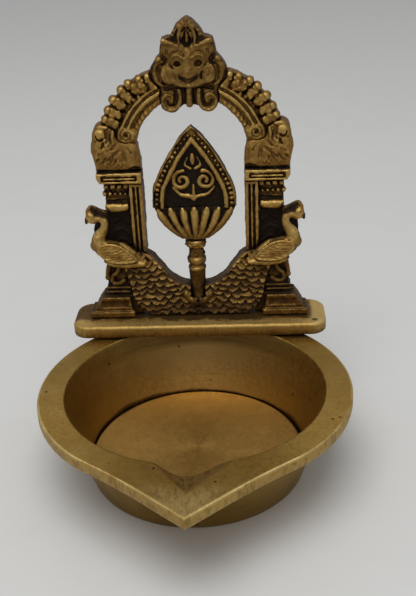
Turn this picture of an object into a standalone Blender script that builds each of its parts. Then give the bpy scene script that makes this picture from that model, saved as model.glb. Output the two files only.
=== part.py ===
"""Brass oil lamp: a leaf-rimmed bowl with an arched back plate of pillars, peacocks and a spear.

Metres, +Z up. The front of the lamp, its pointed lip, faces -Y. The bowl turns about the axis
of the empty "lamp", and the world origin lies under the middle of the lamp's length.
"""

import math

import bmesh
import bpy
from mathutils import Matrix, Vector

MM = 0.001

# Film of braze between two neighbouring castings
JOINT_GAP = 0.3 * MM

# A cutter passes the face that it cuts by OVERCUT, and WELL_CLEAR is more than any piece's size
OVERCUT = 0.5 * MM
WELL_CLEAR = 120.0 * MM

# Bowl
RIM_RADIUS = 34.0 * MM
LIP_REACH = 44.0 * MM
LIP_HOLLOW = 0.5 * MM
RIM_WIDTH = 5.8 * MM
RIM_THICKNESS = 2.7 * MM
BOWL_HEIGHT = 19.2 * MM
FOOT_RADIUS = 23.9 * MM
WALL_THICKNESS = 1.2 * MM
FLOOR_LEVEL = 3.2 * MM
FLOOR_THICKNESS = 1.5 * MM
LEDGE_WIDTH = 2.4 * MM
GROOVE_WIDTH = 13.0 * MM
GROOVE_LENGTH = 10.0 * MM
GROOVE_DEPTH = 1.9 * MM
RIM_EDGE = 0.35 * MM
AROUND = 64

# Bar that carries the back plate
BAR_LENGTH = 61.0 * MM
BAR_DEPTH = 14.0 * MM
BAR_HEIGHT = 2.9 * MM
BAR_CORNER = 4.0 * MM
BAR_EDGE = 0.5 * MM
BAR_OVERHANG = 1.5 * MM

# Back plate, measured back from the front edge of the bar
PLATE_SETBACK = 6.3 * MM
PLATE_THICKNESS = 4.7 * MM
OPENING_HALF_WIDTH = 11.7 * MM

# Plinths under the pillars
PLINTH_HEIGHT = 5.1 * MM
PLINTH_STEP = 1.5 * MM
PLINTH_INNER = 15.5 * MM
PLINTH_LENGTH = 10.7 * MM
PLINTH_PROUD = 1.7 * MM
PLINTH_INSET = 0.5 * MM
PLINTH_SLOPE = 1.6 * MM
PLINTH_EDGE = 0.2 * MM
PLINTH_FILLER = 1.9 * MM

# Pillars
STRIP_WIDTH = 3.0 * MM
PILLAR_HEIGHT = 27.7 * MM
SHAFT_WIDTH = 5.5 * MM
SHAFT_HEIGHT = 20.6 * MM
SHAFT_RECESS = 1.7 * MM
PEDESTAL_WIDTH = 7.1 * MM
PEDESTAL_HEIGHT = 8.5 * MM
PEDESTAL_RECESS = 0.8 * MM
PEDESTAL_FOOT = 1.4 * MM
PEDESTAL_STEP = 0.4 * MM
FLUTE_WIDTH = 0.45 * MM
FLUTE_DEPTH = 0.6 * MM

# Capitals
ABACUS_LENGTH = 10.4 * MM
ABACUS_HEIGHT = 2.5 * MM
ABACUS_PROUD = 0.4 * MM
ABACUS_SLOPE = 0.7 * MM
ABACUS_EDGE = 0.3 * MM
ABACUS_FRAME = 0.9 * MM
CUSHION_HEIGHT = 2.2 * MM
CUSHION_PROUD = 1.3 * MM
BEAD_PROUD = 1.1 * MM
BEAD_RADIUS = 0.62 * MM
BEADS_PER_ROW = 5
DENTIL_SIZE = 1.05 * MM
DENTILS_PER_ROW = 4

# Beast blocks and the two halves of the arch
BEAST_HEIGHT = 10.9 * MM
BEAST_EDGE = 0.6 * MM
ARCH_EDGE = 0.45 * MM
ARCH_OUTER_RADIUS = 22.4 * MM
ARCH_OUTER_RISE = 1.8 * MM
ARCH_INNER_RADIUS = 12.8 * MM
ARCH_INNER_RISE = 3.7 * MM
ARCH_RECESS = 1.4 * MM
ARCH_END = 84.0
BAND_WIDTH = 4.1 * MM
BAND_LIP = 0.4 * MM
BAND_PROUD = 1.1 * MM
ROLL_RADIUS = 1.1 * MM
ROLL_LENGTH = 3.4 * MM
ROLL_PROUD = 2.0 * MM
ROLLS_PER_SIDE = 7
ROLLS_FROM = 27.4
ROLLS_TO = 65.0

# Mask at the crown of the arch
MASK_ABOVE_SPRING = 22.1 * MM
MASK_HALF_WIDTH = 8.5 * MM
MASK_RISE = 11.2 * MM
MASK_RECESS = 0.8 * MM
MASK_EDGE = 0.4 * MM
FACE_HALF_WIDTH = 5.2 * MM
FACE_HALF_HEIGHT = 4.5 * MM
FACE_PROUD = 1.8 * MM
EYE_RADIUS = 0.75 * MM
EYE_SPACING = 4.4 * MM
SCROLL_RADIUS = 1.75 * MM
SCROLL_THICKNESS = 1.1 * MM

# Peacocks: reach of the beak from the middle plane, and height of the crest over the bar
PEACOCK_REACH = 25.4 * MM
PEACOCK_HEIGHT = 28.7 * MM
TAIL_PROUD = 1.0 * MM
TAIL_THICKNESS = 5.0 * MM
TAIL_LEDGE = 4.5 * MM
TAIL_EDGE = 0.5 * MM
BODY_LENGTH = 10.2 * MM
BODY_HEIGHT = 5.0 * MM
BODY_THICKNESS = 4.4 * MM
HEAD_RADIUS = 1.2 * MM
CREST_PROUD = 0.5 * MM
SCALE_ROWS = 5
SCALE_SIZE = 1.35 * MM
SCALE_PROUD = 0.75 * MM

# Spear
STEM_RADIUS = 2.0 * MM
STEM_SETBACK = 1.2 * MM
STEM_HEIGHT = 14.7 * MM
CUP_HEIGHT = 7.5 * MM
BLADE_HALF_WIDTH = 9.7 * MM
BLADE_HEIGHT = 19.0 * MM
BLADE_THICKNESS = 2.6 * MM
BLADE_BORDER = 2.6 * MM
BLADE_FOOT_BORDER = 0.8 * MM
BLADE_EDGE = 0.25 * MM
BLADE_LIP = 0.45 * MM
RIB_WIDTH = 1.1 * MM
PANEL_DEPTH = 0.9 * MM
PETAL_COUNT = 7
PETAL_WIDTH = 2.3 * MM
PETAL_PROUD = 1.6 * MM
CUP_EDGE = 0.3 * MM

# Finishes: the bowl and its bar are turned and filed bright, the plate is left darker
TURNED_COLOUR = (0.36, 0.22, 0.06)
TURNED_ROUGHNESS = 0.36
ANTIQUE_COLOUR = (0.30, 0.19, 0.06)
ANTIQUE_ROUGHNESS = 0.42

# Levels and planes that follow from the sizes above
RIM_INNER_RADIUS = RIM_RADIUS - RIM_WIDTH
FLOOR_RADIUS = FOOT_RADIUS + (RIM_INNER_RADIUS - FOOT_RADIUS) * FLOOR_LEVEL / BOWL_HEIGHT - WALL_THICKNESS
BAR_BOTTOM = BOWL_HEIGHT + JOINT_GAP
BAR_TOP = BAR_BOTTOM + BAR_HEIGHT
BAR_BACK = RIM_RADIUS + BAR_OVERHANG
BAR_FRONT = BAR_BACK - BAR_DEPTH
PLATE_FRONT = BAR_FRONT + PLATE_SETBACK
PLATE_BACK = PLATE_FRONT + PLATE_THICKNESS
PLATE_FOOT = BAR_TOP + JOINT_GAP
PILLAR_FOOT = PLATE_FOOT + PLINTH_HEIGHT + JOINT_GAP
ABACUS_FOOT = PILLAR_FOOT + PILLAR_HEIGHT + JOINT_GAP
BEAST_FOOT = ABACUS_FOOT + ABACUS_HEIGHT + JOINT_GAP
MASK_CENTRE = BEAST_FOOT + MASK_ABOVE_SPRING
STEM_FOOT = PLATE_FOOT + TAIL_LEDGE
CUP_FOOT = STEM_FOOT + STEM_HEIGHT + JOINT_GAP
BLADE_FOOT = CUP_FOOT + CUP_HEIGHT + JOINT_GAP
LAMP_MIDDLE = (LIP_REACH - BAR_BACK) / 2


# Scene and material helpers


def clear_scene():
    for obj in list(bpy.data.objects):
        bpy.data.objects.remove(obj)


def brass(name, colour, roughness):
    """A metallic Principled material."""
    material = bpy.data.materials.new(name)
    material.use_nodes = True
    shader = material.node_tree.nodes["Principled BSDF"]
    shader.inputs["Base Color"].default_value = (*colour, 1.0)
    shader.inputs["Metallic"].default_value = 1.0
    shader.inputs["Roughness"].default_value = roughness
    return material


def new_object(name, bm):
    """A linked object from a bmesh, with its faces turned outwards."""
    bmesh.ops.recalc_face_normals(bm, faces=bm.faces)
    mesh = bpy.data.meshes.new(name)
    bm.to_mesh(mesh)
    bm.free()
    obj = bpy.data.objects.new(name, mesh)
    bpy.context.scene.collection.objects.link(obj)
    return obj


def finish_piece(obj, colour, roughness, lamp):
    """Shades a finished piece, gives it its own material and hangs it on the lamp."""
    obj.data.materials.clear()
    obj.data.materials.append(brass(f"{obj.name} brass", colour, roughness))
    obj.data.shade_smooth()
    obj.data.set_sharp_from_angle(angle=math.radians(35))
    obj.parent = lamp
    return obj


def apply_modifiers(obj):
    graph = bpy.context.evaluated_depsgraph_get()
    mesh = bpy.data.meshes.new_from_object(obj.evaluated_get(graph))
    obj.modifiers.clear()
    obj.data = mesh


def combine(obj, tools, operation):
    """Joins tools to obj, or cuts them from it, and removes the tools."""
    for tool in tools:
        modifier = obj.modifiers.new(operation.title(), "BOOLEAN")
        modifier.operation = operation
        modifier.solver = "EXACT"
        modifier.object = tool
    apply_modifiers(obj)
    for tool in tools:
        bpy.data.objects.remove(tool)
    return obj


def fuse(obj, tools):
    return combine(obj, tools, "UNION")


def cut(obj, tools):
    return combine(obj, tools, "DIFFERENCE")


def bevel(obj, width, angle=50.0):
    modifier = obj.modifiers.new("Bevel", "BEVEL")
    modifier.width = width
    modifier.segments = 1
    modifier.limit_method = "ANGLE"
    modifier.angle_limit = math.radians(angle)
    apply_modifiers(obj)
    return obj


# Shape helpers


def curve_through(points, steps, closed=False):
    """Points of a Catmull-Rom curve through the given points."""
    count = len(points)
    spans = count if closed else count - 1
    made = []
    for i in range(spans):
        if closed:
            p = [Vector(points[(i + k) % count]) for k in (-1, 0, 1, 2)]
        else:
            p = [Vector(points[min(max(i + k, 0), count - 1)]) for k in (-1, 0, 1, 2)]
        for step in range(steps):
            t = step / steps
            made.append(
                0.5
                * (
                    2 * p[1]
                    + (p[2] - p[0]) * t
                    + (2 * p[0] - 5 * p[1] + 4 * p[2] - p[3]) * t**2
                    + (3 * p[1] - p[0] - 3 * p[2] + p[3]) * t**3
                )
            )
    if not closed:
        made.append(Vector(points[-1]))
    return made


def grown(outline, by):
    """An outline moved outwards by a distance, for the seat of a neighbour."""
    count = len(outline)
    area = sum(
        outline[i].x * outline[(i + 1) % count].y - outline[(i + 1) % count].x * outline[i].y
        for i in range(count)
    )
    side = math.copysign(1.0, area)
    made = []
    for i, point in enumerate(outline):
        along_in = (point - outline[i - 1]).normalized()
        along_out = (outline[(i + 1) % count] - point).normalized()
        normal_in = Vector((along_in.y, -along_in.x)) * side
        normal_out = Vector((along_out.y, -along_out.x)) * side
        middle = (normal_in + normal_out).normalized()
        made.append(point + middle * by / max(middle.dot(normal_in), 0.5))
    return made


def mirrored(outline, side):
    """An outline of the right-hand piece, for the given side: 1 right, -1 left."""
    return [Vector((side * p.x, p.y)) for p in outline]


def slab(name, outline, front, back):
    """A solid with an outline in X and Z, from the plane y = front to y = back."""
    bm = bmesh.new()
    face = bm.faces.new([bm.verts.new((p[0], front, p[1])) for p in outline])
    made = bmesh.ops.extrude_face_region(bm, geom=[face])["geom"]
    moved = [item for item in made if isinstance(item, bmesh.types.BMVert)]
    bmesh.ops.translate(bm, verts=moved, vec=(0, back - front, 0))
    return new_object(name, bm)


def block(name, x_range, z_range, front, back):
    (x0, x1), (z0, z1) = sorted(x_range), z_range
    return slab(name, [(x0, z0), (x1, z0), (x1, z1), (x0, z1)], front, back)


def loft(name, rings):
    """A solid through rings of equally many points, closed at both ends."""
    bm = bmesh.new()
    made = [[bm.verts.new(p) for p in ring] for ring in rings]
    count = len(rings[0])
    for lower, upper in zip(made, made[1:]):
        for i in range(count):
            j = (i + 1) % count
            bm.faces.new((lower[i], lower[j], upper[j], upper[i]))
    bm.faces.new(made[0])
    bm.faces.new(made[-1])
    return new_object(name, bm)


def turned(name, profile, centre, steps):
    """A solid turned about an upright axis, from (radius, height) points, bottom to top."""
    rings = []
    for radius, height in profile:
        rings.append(
            [
                (
                    centre[0] + radius * math.cos(2 * math.pi * k / steps),
                    centre[1] + radius * math.sin(2 * math.pi * k / steps),
                    height,
                )
                for k in range(steps)
            ]
        )
    return loft(name, rings)


def tube(name, centres, radii, depth, sides):
    """A tube along points in X and Z at the plane y = depth, its radius changing on the way."""
    rings = []
    for i, centre in enumerate(centres):
        ahead = centres[min(i + 1, len(centres) - 1)] - centres[max(i - 1, 0)]
        across = Vector((-ahead.y, ahead.x)).normalized()
        ring = []
        for k in range(sides):
            turn = 2 * math.pi * k / sides
            spot = centre + across * radii[i] * math.cos(turn)
            ring.append((spot.x, depth + radii[i] * math.sin(turn), spot.y))
        rings.append(ring)
    return loft(name, rings)


def ellipsoid(name, centre, radii, tilt=0.0, segments=12, rings=8):
    """An ellipsoid with its poles front and back, tilted in the plane of the plate."""
    bm = bmesh.new()
    place = (
        Matrix.Translation(centre)
        @ Matrix.Rotation(-tilt, 4, "Y")
        @ Matrix.Diagonal((*radii, 1.0))
        @ Matrix.Rotation(math.pi / 2, 4, "X")
    )
    bmesh.ops.create_uvsphere(bm, u_segments=segments, v_segments=rings, radius=1.0, matrix=place)
    return new_object(name, bm)


def arc(centre_z, radius, start, end, steps):
    """Points of an arc about (0, centre_z), angles from +X in radians."""
    turns = [start + (end - start) * k / steps for k in range(steps + 1)]
    return [Vector((radius * math.cos(t), centre_z + radius * math.sin(t))) for t in turns]


# Bowl and its floor


def leaf_radius(angle, radius, reach):
    """Distance from the bowl's axis to a leaf outline: a circle drawn out to a lip at -Y."""
    from_lip = abs((angle + math.pi / 2 + math.pi) % (2 * math.pi) - math.pi)
    tangent = math.acos(radius / reach)
    if from_lip >= tangent:
        return radius
    hollow = LIP_HOLLOW * math.sin(math.pi * from_lip / tangent)
    return radius / math.cos(tangent - from_lip) - hollow


def ring_at(radius_of, height):
    turns = [2 * math.pi * k / AROUND - math.pi / 2 for k in range(AROUND)]
    return [(radius_of(t) * math.cos(t), radius_of(t) * math.sin(t), height) for t in turns]


def make_bowl():
    """The leaf rim, the flaring wall and the foot ring, with a ledge for the floor."""
    rim_bottom = BOWL_HEIGHT - RIM_THICKNESS
    wall_top = FOOT_RADIUS + (RIM_INNER_RADIUS - FOOT_RADIUS) * rim_bottom / BOWL_HEIGHT + WALL_THICKNESS
    ledge_top = FLOOR_LEVEL - FLOOR_THICKNESS - JOINT_GAP
    seat = FLOOR_RADIUS + JOINT_GAP

    def leaf(inset):
        return lambda t: leaf_radius(t, RIM_RADIUS, LIP_REACH) - inset

    def circle(radius):
        return lambda t: radius

    rings = [
        ring_at(circle(seat - LEDGE_WIDTH), ledge_top),
        ring_at(circle(seat - LEDGE_WIDTH), 0.0),
        ring_at(circle(FOOT_RADIUS - RIM_EDGE), 0.0),
        ring_at(circle(FOOT_RADIUS), RIM_EDGE),
        ring_at(circle(wall_top), rim_bottom),
        ring_at(leaf(RIM_EDGE), rim_bottom),
        ring_at(leaf(0.0), rim_bottom + RIM_EDGE),
        ring_at(leaf(0.0), BOWL_HEIGHT - RIM_EDGE),
        ring_at(leaf(RIM_EDGE), BOWL_HEIGHT),
        ring_at(circle(RIM_INNER_RADIUS), BOWL_HEIGHT),
        ring_at(circle(seat), FLOOR_LEVEL),
        ring_at(circle(seat), ledge_top),
    ]
    bm = bmesh.new()
    made = [[bm.verts.new(p) for p in ring] for ring in rings]
    for lower, upper in zip(made, made[1:] + made[:1]):
        for i in range(AROUND):
            j = (i + 1) % AROUND
            bm.faces.new((lower[i], lower[j], upper[j], upper[i]))
    return cut(new_object("bowl", bm), [lip_groove()])


def lip_groove():
    """A half cone sunk in the lip, where the wick lies: deep at the bowl, nothing at its point."""
    point = -(RIM_INNER_RADIUS + GROOVE_LENGTH)
    mouth = -RIM_INNER_RADIUS * math.cos(math.asin(GROOVE_WIDTH / 2 / RIM_INNER_RADIUS)) + GROOVE_LENGTH / 2
    growth = (mouth - point) / GROOVE_LENGTH
    sides = 16
    rings = []
    for share in (0.02, 1.0):
        y = point + (mouth - point) * share
        half_width = GROOVE_WIDTH / 2 * growth * share
        depth = GROOVE_DEPTH * growth * share
        rings.append(
            [
                (
                    half_width * math.cos(2 * math.pi * k / sides),
                    y,
                    BOWL_HEIGHT + depth * math.sin(2 * math.pi * k / sides),
                )
                for k in range(sides)
            ]
        )
    return loft("lip groove", rings)


def make_floor():
    """The turned disc let into the foot, its top edge rounded off."""
    top = FLOOR_LEVEL
    edge = FLOOR_THICKNESS / 4
    profile = [
        (FLOOR_RADIUS, top - FLOOR_THICKNESS),
        (FLOOR_RADIUS, top - edge),
        (FLOOR_RADIUS - edge, top),
    ]
    return turned("floor_disc", profile, (0.0, 0.0), AROUND)


# Bar


def make_bar():
    """The flat bar on the back of the rim, its plan corners rounded."""
    corner_steps = 4
    half = BAR_LENGTH / 2
    corners = (
        (half - BAR_CORNER, BAR_BACK - BAR_CORNER, 0.0),
        (-half + BAR_CORNER, BAR_BACK - BAR_CORNER, 90.0),
        (-half + BAR_CORNER, BAR_FRONT + BAR_CORNER, 180.0),
        (half - BAR_CORNER, BAR_FRONT + BAR_CORNER, 270.0),
    )
    plan = []
    for x, y, start in corners:
        for k in range(corner_steps + 1):
            turn = math.radians(start + 90.0 * k / corner_steps)
            plan.append((x + BAR_CORNER * math.cos(turn), y + BAR_CORNER * math.sin(turn)))
    rings = [[(x, y, z) for x, y in plan] for z in (BAR_BOTTOM, BAR_TOP)]
    return bevel(loft("base_bar", rings), BAR_EDGE)


def rectangle(x0, x1, front, back, z):
    return [(x0, front, z), (x1, front, z), (x1, back, z), (x0, back, z)]


# Peacocks, whose outline the plinths and pillars make room for


def bird_point(across, up, side=1):
    """A point of the bird's drawing, in hundredths of its reach and of its height over the bar."""
    return Vector((side * PEACOCK_REACH * across / 100, PLATE_FOOT + PEACOCK_HEIGHT * up / 100))


def tail_outline():
    """The right-hand tail in the plane of the plate, from the spear's foot to the pillar."""
    gap = JOINT_GAP / 2
    notch = STEM_RADIUS + JOINT_GAP
    ledge = STEM_FOOT - JOINT_GAP
    top_edge = ((17.3, 28.6), (24.4, 33.8), (32.3, 42.5), (40.2, 51.2))
    shoulder = ((45.7, 55.4), (53.5, 57.5), (62.2, 54.0), (68.1, 47.7))
    outer = ((66.9, 40.1), (63.4, 30.7), (62.2, 21.3), (59.1, 12.2))
    toe = ((53.5, 4.5), (45.7, 0.0))
    start = Vector((notch, bird_point(0.0, 25.1).y))
    smooth = curve_through([start] + [bird_point(*p) for p in top_edge + shoulder + outer + toe], 2)
    corner = [Vector((gap, PLATE_FOOT)), Vector((gap, ledge)), Vector((notch, ledge))]
    return corner + smooth


def tail_seat(side):
    """The room that a plinth or a pillar leaves for the tail beside it."""
    seat = mirrored(grown(tail_outline(), JOINT_GAP), side)
    return slab("tail seat", seat, PLATE_FRONT - TAIL_PROUD - JOINT_GAP, PLATE_BACK + OVERCUT)


def scale_places():
    """Centres and sizes of the tail's feather scales, in rows from the body to the spear's foot."""
    places = []
    for row in range(SCALE_ROWS):
        across = row / (SCALE_ROWS - 1)
        count = 5 + row % 2
        for k in range(count):
            along = (k + 0.5 + 0.5 * (row % 2)) / (count + 0.5)
            upper = bird_point(48.8 - 37.8 * along, 48.8 - 26.5 * along)
            lower = bird_point(59.8 - 37.0 * along, 33.4 - 25.8 * along)
            places.append((upper.lerp(lower, across), SCALE_SIZE * (1.0 - 0.19 * along)))
    return places


def make_peacock(name, side):
    """The bird: an S neck, a body with a folded wing, and a tail that fans down to the spear."""
    tail_front = PLATE_FRONT - TAIL_PROUD
    tail = slab(name, mirrored(tail_outline(), side), tail_front, tail_front + TAIL_THICKNESS)
    bevel(tail, TAIL_EDGE)

    # The body is widest in the tail's front plane, so that no pocket is left where they meet
    middle = tail_front
    back = PLATE_FRONT - JOINT_GAP
    length, thick, high = BODY_LENGTH / 2, BODY_THICKNESS / 2, BODY_HEIGHT / 2

    def spot(across, up, depth=middle):
        point = bird_point(across, up, side)
        return Vector((point.x, depth, point.y))

    def path(points):
        return [bird_point(*p, side) for p in points]

    body = ellipsoid("body", spot(74.8, 59.6), (length, thick, high), side * 0.28, 14, 8)
    wing_radii = (0.86 * length, 0.72 * thick, 0.76 * high)
    wing = ellipsoid("wing", spot(72.0, 59.2, middle - thick / 2), wing_radii, side * 0.32, 10, 6)
    rump_radii = (0.7 * length, 0.72 * thick, 0.8 * high)
    rump = ellipsoid("rump", spot(55.9, 50.9), rump_radii, side * 0.72, 8, 6)

    # The neck leads back from the breast and over in a hook to the head
    hook = ((92.9, 89.9), (87.0, 89.2), (82.7, 86.8), (81.9, 82.2), (84.6, 77.4))
    breast = ((88.2, 72.1), (89.0, 66.2), (85.0, 62.0))
    widths = (0.42, 0.4, 0.4, 0.43, 0.5, 0.62, 0.76, 0.88)
    radii = [r.x for r in curve_through([Vector((thick * w, 0.0)) for w in widths], 2)]
    neck = tube("neck", curve_through(path(hook + breast), 2), radii, middle, 8)
    head = ellipsoid("head", spot(94.1, 91.3), (HEAD_RADIUS, HEAD_RADIUS, HEAD_RADIUS), 0.0, 10, 6)
    beak_radii = [HEAD_RADIUS * share for share in (0.75, 0.52, 0.12)]
    beak = tube("beak", path(((95.3, 90.6), (98.0, 87.1), (99.7, 83.6))), beak_radii, middle, 6)
    fan = ((83.5, 92.7), (83.9, 95.8), (88.2, 98.3), (92.5, 100.0), (96.9, 99.0), (98.0, 95.8), (94.5, 91.5))
    crest = slab("crest", path(fan + ((88.0, 89.5),)), middle - CREST_PROUD, back + OVERCUT)
    fuse(body, [wing, rump, neck, head, beak, crest])
    behind = block("behind", (0.0, side * WELL_CLEAR), (0.0, WELL_CLEAR), back, PLATE_BACK)
    cut(body, [behind])
    scales = []
    for centre, size in scale_places():
        place = Vector((side * centre.x, tail_front, centre.y))
        scales.append(ellipsoid("scale", place, (size, SCALE_PROUD, size * 0.8), side * 0.7, 6, 4))
    return fuse(tail, [body] + scales)


# Plinths


def make_plinth(name, side):
    """A low slab, a block with a sloping outer end on it, and a filler up to the tail beside it."""
    front = PLATE_FRONT - PLINTH_PROUD
    back = PLATE_BACK - PLINTH_EDGE
    inset = PLINTH_INSET
    x0 = PLINTH_INNER
    x1 = PLINTH_INNER + PLINTH_LENGTH
    step_top = PLATE_FOOT + PLINTH_STEP
    top = PLATE_FOOT + PLINTH_HEIGHT
    solid = block(name, (side * x0, side * x1), (PLATE_FOOT, step_top), front, PLATE_BACK)
    bevel(solid, PLINTH_EDGE)
    upper_rings = [
        rectangle(side * (x0 + inset), side * (x1 - inset), front + inset, back, step_top - OVERCUT),
        rectangle(side * (x0 + 2 * inset), side * (x1 - PLINTH_SLOPE), front + inset, back, top),
    ]
    upper = bevel(loft("upper", upper_rings), PLINTH_EDGE)
    filler_edges = (side * (x0 - PLINTH_FILLER), side * (x0 + 3 * inset))
    filler_levels = (PLATE_FOOT + PLINTH_EDGE, top - 2 * PLINTH_EDGE)
    filler = block("filler", filler_edges, filler_levels, PLATE_FRONT, back - PLINTH_EDGE)
    fuse(solid, [upper, filler])
    return cut(solid, [tail_seat(side)])


# Pillars and capitals


def make_pillar(name, side):
    """An inner fluted strip, a recessed shaft beside it and a broad pedestal, cut to the tail."""
    strip_outer = OPENING_HALF_WIDTH + STRIP_WIDTH
    top = PILLAR_FOOT + PILLAR_HEIGHT
    strip_edges = (side * OPENING_HALF_WIDTH, side * strip_outer)
    strip = block(name, strip_edges, (PILLAR_FOOT, top), PLATE_FRONT, PLATE_BACK)
    flutes = []
    for share in (0.32, 0.68):
        x = OPENING_HALF_WIDTH + STRIP_WIDTH * share
        edges = (side * (x - FLUTE_WIDTH / 2), side * (x + FLUTE_WIDTH / 2))
        levels = (PILLAR_FOOT, top - STRIP_WIDTH / 4)
        flutes.append(block("flute", edges, levels, PLATE_FRONT - OVERCUT, PLATE_FRONT + FLUTE_DEPTH))
    cut(strip, flutes)
    shaft = block(
        "shaft",
        (side * (strip_outer - OVERCUT), side * (strip_outer + SHAFT_WIDTH)),
        (PILLAR_FOOT, PILLAR_FOOT + SHAFT_HEIGHT),
        PLATE_FRONT + SHAFT_RECESS,
        PLATE_BACK,
    )
    foot_front = PLATE_FRONT + PEDESTAL_RECESS / 2
    body_front = PLATE_FRONT + PEDESTAL_RECESS
    pedestal_profile = (
        (foot_front, PEDESTAL_WIDTH + PEDESTAL_STEP, 0.0),
        (foot_front, PEDESTAL_WIDTH + PEDESTAL_STEP, PEDESTAL_FOOT),
        (body_front, PEDESTAL_WIDTH, PEDESTAL_FOOT + PEDESTAL_STEP),
        (body_front, PEDESTAL_WIDTH - PEDESTAL_STEP, PEDESTAL_HEIGHT),
    )
    inner = strip_outer - OVERCUT / 2
    back = PLATE_BACK - OVERCUT
    pedestal_rings = [
        rectangle(side * inner, side * (strip_outer + width), front, back, PILLAR_FOOT + height)
        for front, width, height in pedestal_profile
    ]
    # Behind the bird's neck the shaft widens as far as the throat and the breast
    web_edge = ((92.5, 64.0), (94.5, 70.0), (94.7, 76.0), (92.5, 83.8), (91.0, 89.5))
    web_outline = [bird_point(*p) for p in ((76.0, 64.0),) + web_edge + ((76.0, 89.5),)]
    web = slab("web", mirrored(web_outline, side), PLATE_FRONT + SHAFT_RECESS + OVERCUT, back)
    fuse(strip, [shaft, web, loft("pedestal", pedestal_rings)])
    return cut(strip, [tail_seat(side)])


def make_capital(name, side):
    """The abacus over strip and shaft; below it dentils, a row of beads and a cushion."""
    neck_inner = OPENING_HALF_WIDTH + STRIP_WIDTH + JOINT_GAP
    neck_outer = neck_inner + SHAFT_WIDTH
    neck_length = neck_outer - neck_inner
    front = PLATE_FRONT - ABACUS_PROUD
    neck_front = PLATE_FRONT + SHAFT_RECESS / 2
    foot = PILLAR_FOOT + SHAFT_HEIGHT + JOINT_GAP
    top = ABACUS_FOOT + ABACUS_HEIGHT
    x0 = OPENING_HALF_WIDTH
    x1 = x0 + ABACUS_LENGTH
    slope_top = ABACUS_FOOT + 0.56 * ABACUS_HEIGHT
    outline = ((x0, ABACUS_FOOT), (x1 - ABACUS_SLOPE, ABACUS_FOOT), (x1, slope_top), (x1, top), (x0, top))
    abacus = slab(name, mirrored([Vector(p) for p in outline], side), front, PLATE_BACK)
    bevel(abacus, ABACUS_EDGE)
    groove_edges = (side * (x0 + ABACUS_FRAME), side * (x1 - ABACUS_FRAME - ABACUS_SLOPE / 2))
    groove_levels = (ABACUS_FOOT + 0.3 * ABACUS_HEIGHT, ABACUS_FOOT + 0.54 * ABACUS_HEIGHT)
    groove = block("groove", groove_edges, groove_levels, front - FLUTE_DEPTH, front + FLUTE_DEPTH)
    cut(abacus, [groove])

    neck_edges = (side * neck_inner, side * neck_outer)
    added = [block("neck", neck_edges, (foot, ABACUS_FOOT + OVERCUT), neck_front, PLATE_BACK - OVERCUT)]
    cushion_place = (side * (neck_inner + neck_length / 2), neck_front, foot + CUSHION_HEIGHT / 2)
    cushion_radii = (neck_length * 0.51, CUSHION_PROUD, CUSHION_HEIGHT / 2)
    added.append(ellipsoid("cushion", cushion_place, cushion_radii, 0.0, 10, 6))
    bead_row = (foot + CUSHION_HEIGHT + ABACUS_FOOT - BEAD_RADIUS) / 2
    for k in range(BEADS_PER_ROW):
        x = neck_inner + BEAD_RADIUS + neck_length * k / (BEADS_PER_ROW - 0.6)
        radii = (BEAD_RADIUS, BEAD_PROUD, BEAD_RADIUS)
        added.append(ellipsoid("bead", (side * x, neck_front, bead_row), radii, 0.0, 6, 4))
    for k in range(DENTILS_PER_ROW):
        x = neck_inner + DENTIL_SIZE / 5 + (neck_length + DENTIL_SIZE / 2) * k / DENTILS_PER_ROW
        edges = (side * x, side * (x + DENTIL_SIZE))
        levels = (ABACUS_FOOT - DENTIL_SIZE * 1.3, ABACUS_FOOT + OVERCUT / 2)
        added.append(block("dentil", edges, levels, front + OVERCUT, neck_front + OVERCUT))
    joined = fuse(abacus, added)

    # Nothing of the neck's ornament passes its foot or its inner side
    past_front = PLATE_FRONT - WELL_CLEAR
    floor = block("floor", (0.0, side * WELL_CLEAR), (0.0, foot), past_front, PLATE_BACK)
    inner_side = block("inner side", (0.0, side * neck_inner), (0.0, ABACUS_FOOT), past_front, PLATE_BACK)
    return cut(joined, [floor, inner_side])


# Beast blocks, arch and mask


def beast_outline():
    """The right-hand beast block: a sitting mythical beast, its snout up and outwards.

    The points are shares of the abacus's length and of the beast's height.
    """
    back = ((1.02, 0.25), (1.06, 0.45), (1.02, 0.65), (1.0, 0.82), (0.94, 0.94), (0.83, 1.0))
    front = ((0.69, 0.96), (0.55, 0.86), (0.48, 0.7), (0.375, 0.605), (0.087, 0.57), (0.04, 0.4), (0.0, 0.2))

    def point(across, up):
        return Vector((OPENING_HALF_WIDTH + across * ABACUS_LENGTH, BEAST_FOOT + up * BEAST_HEIGHT))

    return [point(1.0, 0.0)] + curve_through([point(*p) for p in back + front], 2) + [point(0.0, 0.0)]


def make_beast(name, side):
    """The block with its snout, chest and haunch in relief."""
    front = PLATE_FRONT - ABACUS_PROUD / 2
    solid = slab(name, mirrored(beast_outline(), side), front, PLATE_BACK)
    bevel(solid, BEAST_EDGE)

    def swelling(part, across, up, radii, tilt=0.0):
        x = OPENING_HALF_WIDTH + across * ABACUS_LENGTH
        place = (side * x, front + BEAST_EDGE / 2, BEAST_FOOT + up * BEAST_HEIGHT)
        size = (radii[0] * ABACUS_LENGTH, radii[1] * ABACUS_LENGTH, radii[2] * BEAST_HEIGHT)
        return ellipsoid(part, place, size, side * tilt, 10, 6)

    snout = swelling("snout", 0.85, 0.84, (0.15, 0.11, 0.12))
    chest = swelling("chest", 0.77, 0.42, (0.24, 0.125, 0.33), 0.25)
    haunch = swelling("haunch", 0.22, 0.32, (0.19, 0.1, 0.23))
    return fuse(solid, [snout, chest, haunch])


def mask_point(across, up):
    """A point of the mask's drawing, in hundredths of its half width and of its rise."""
    return Vector((MASK_HALF_WIDTH * across / 100, MASK_CENTRE + MASK_RISE * up / 100))


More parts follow.
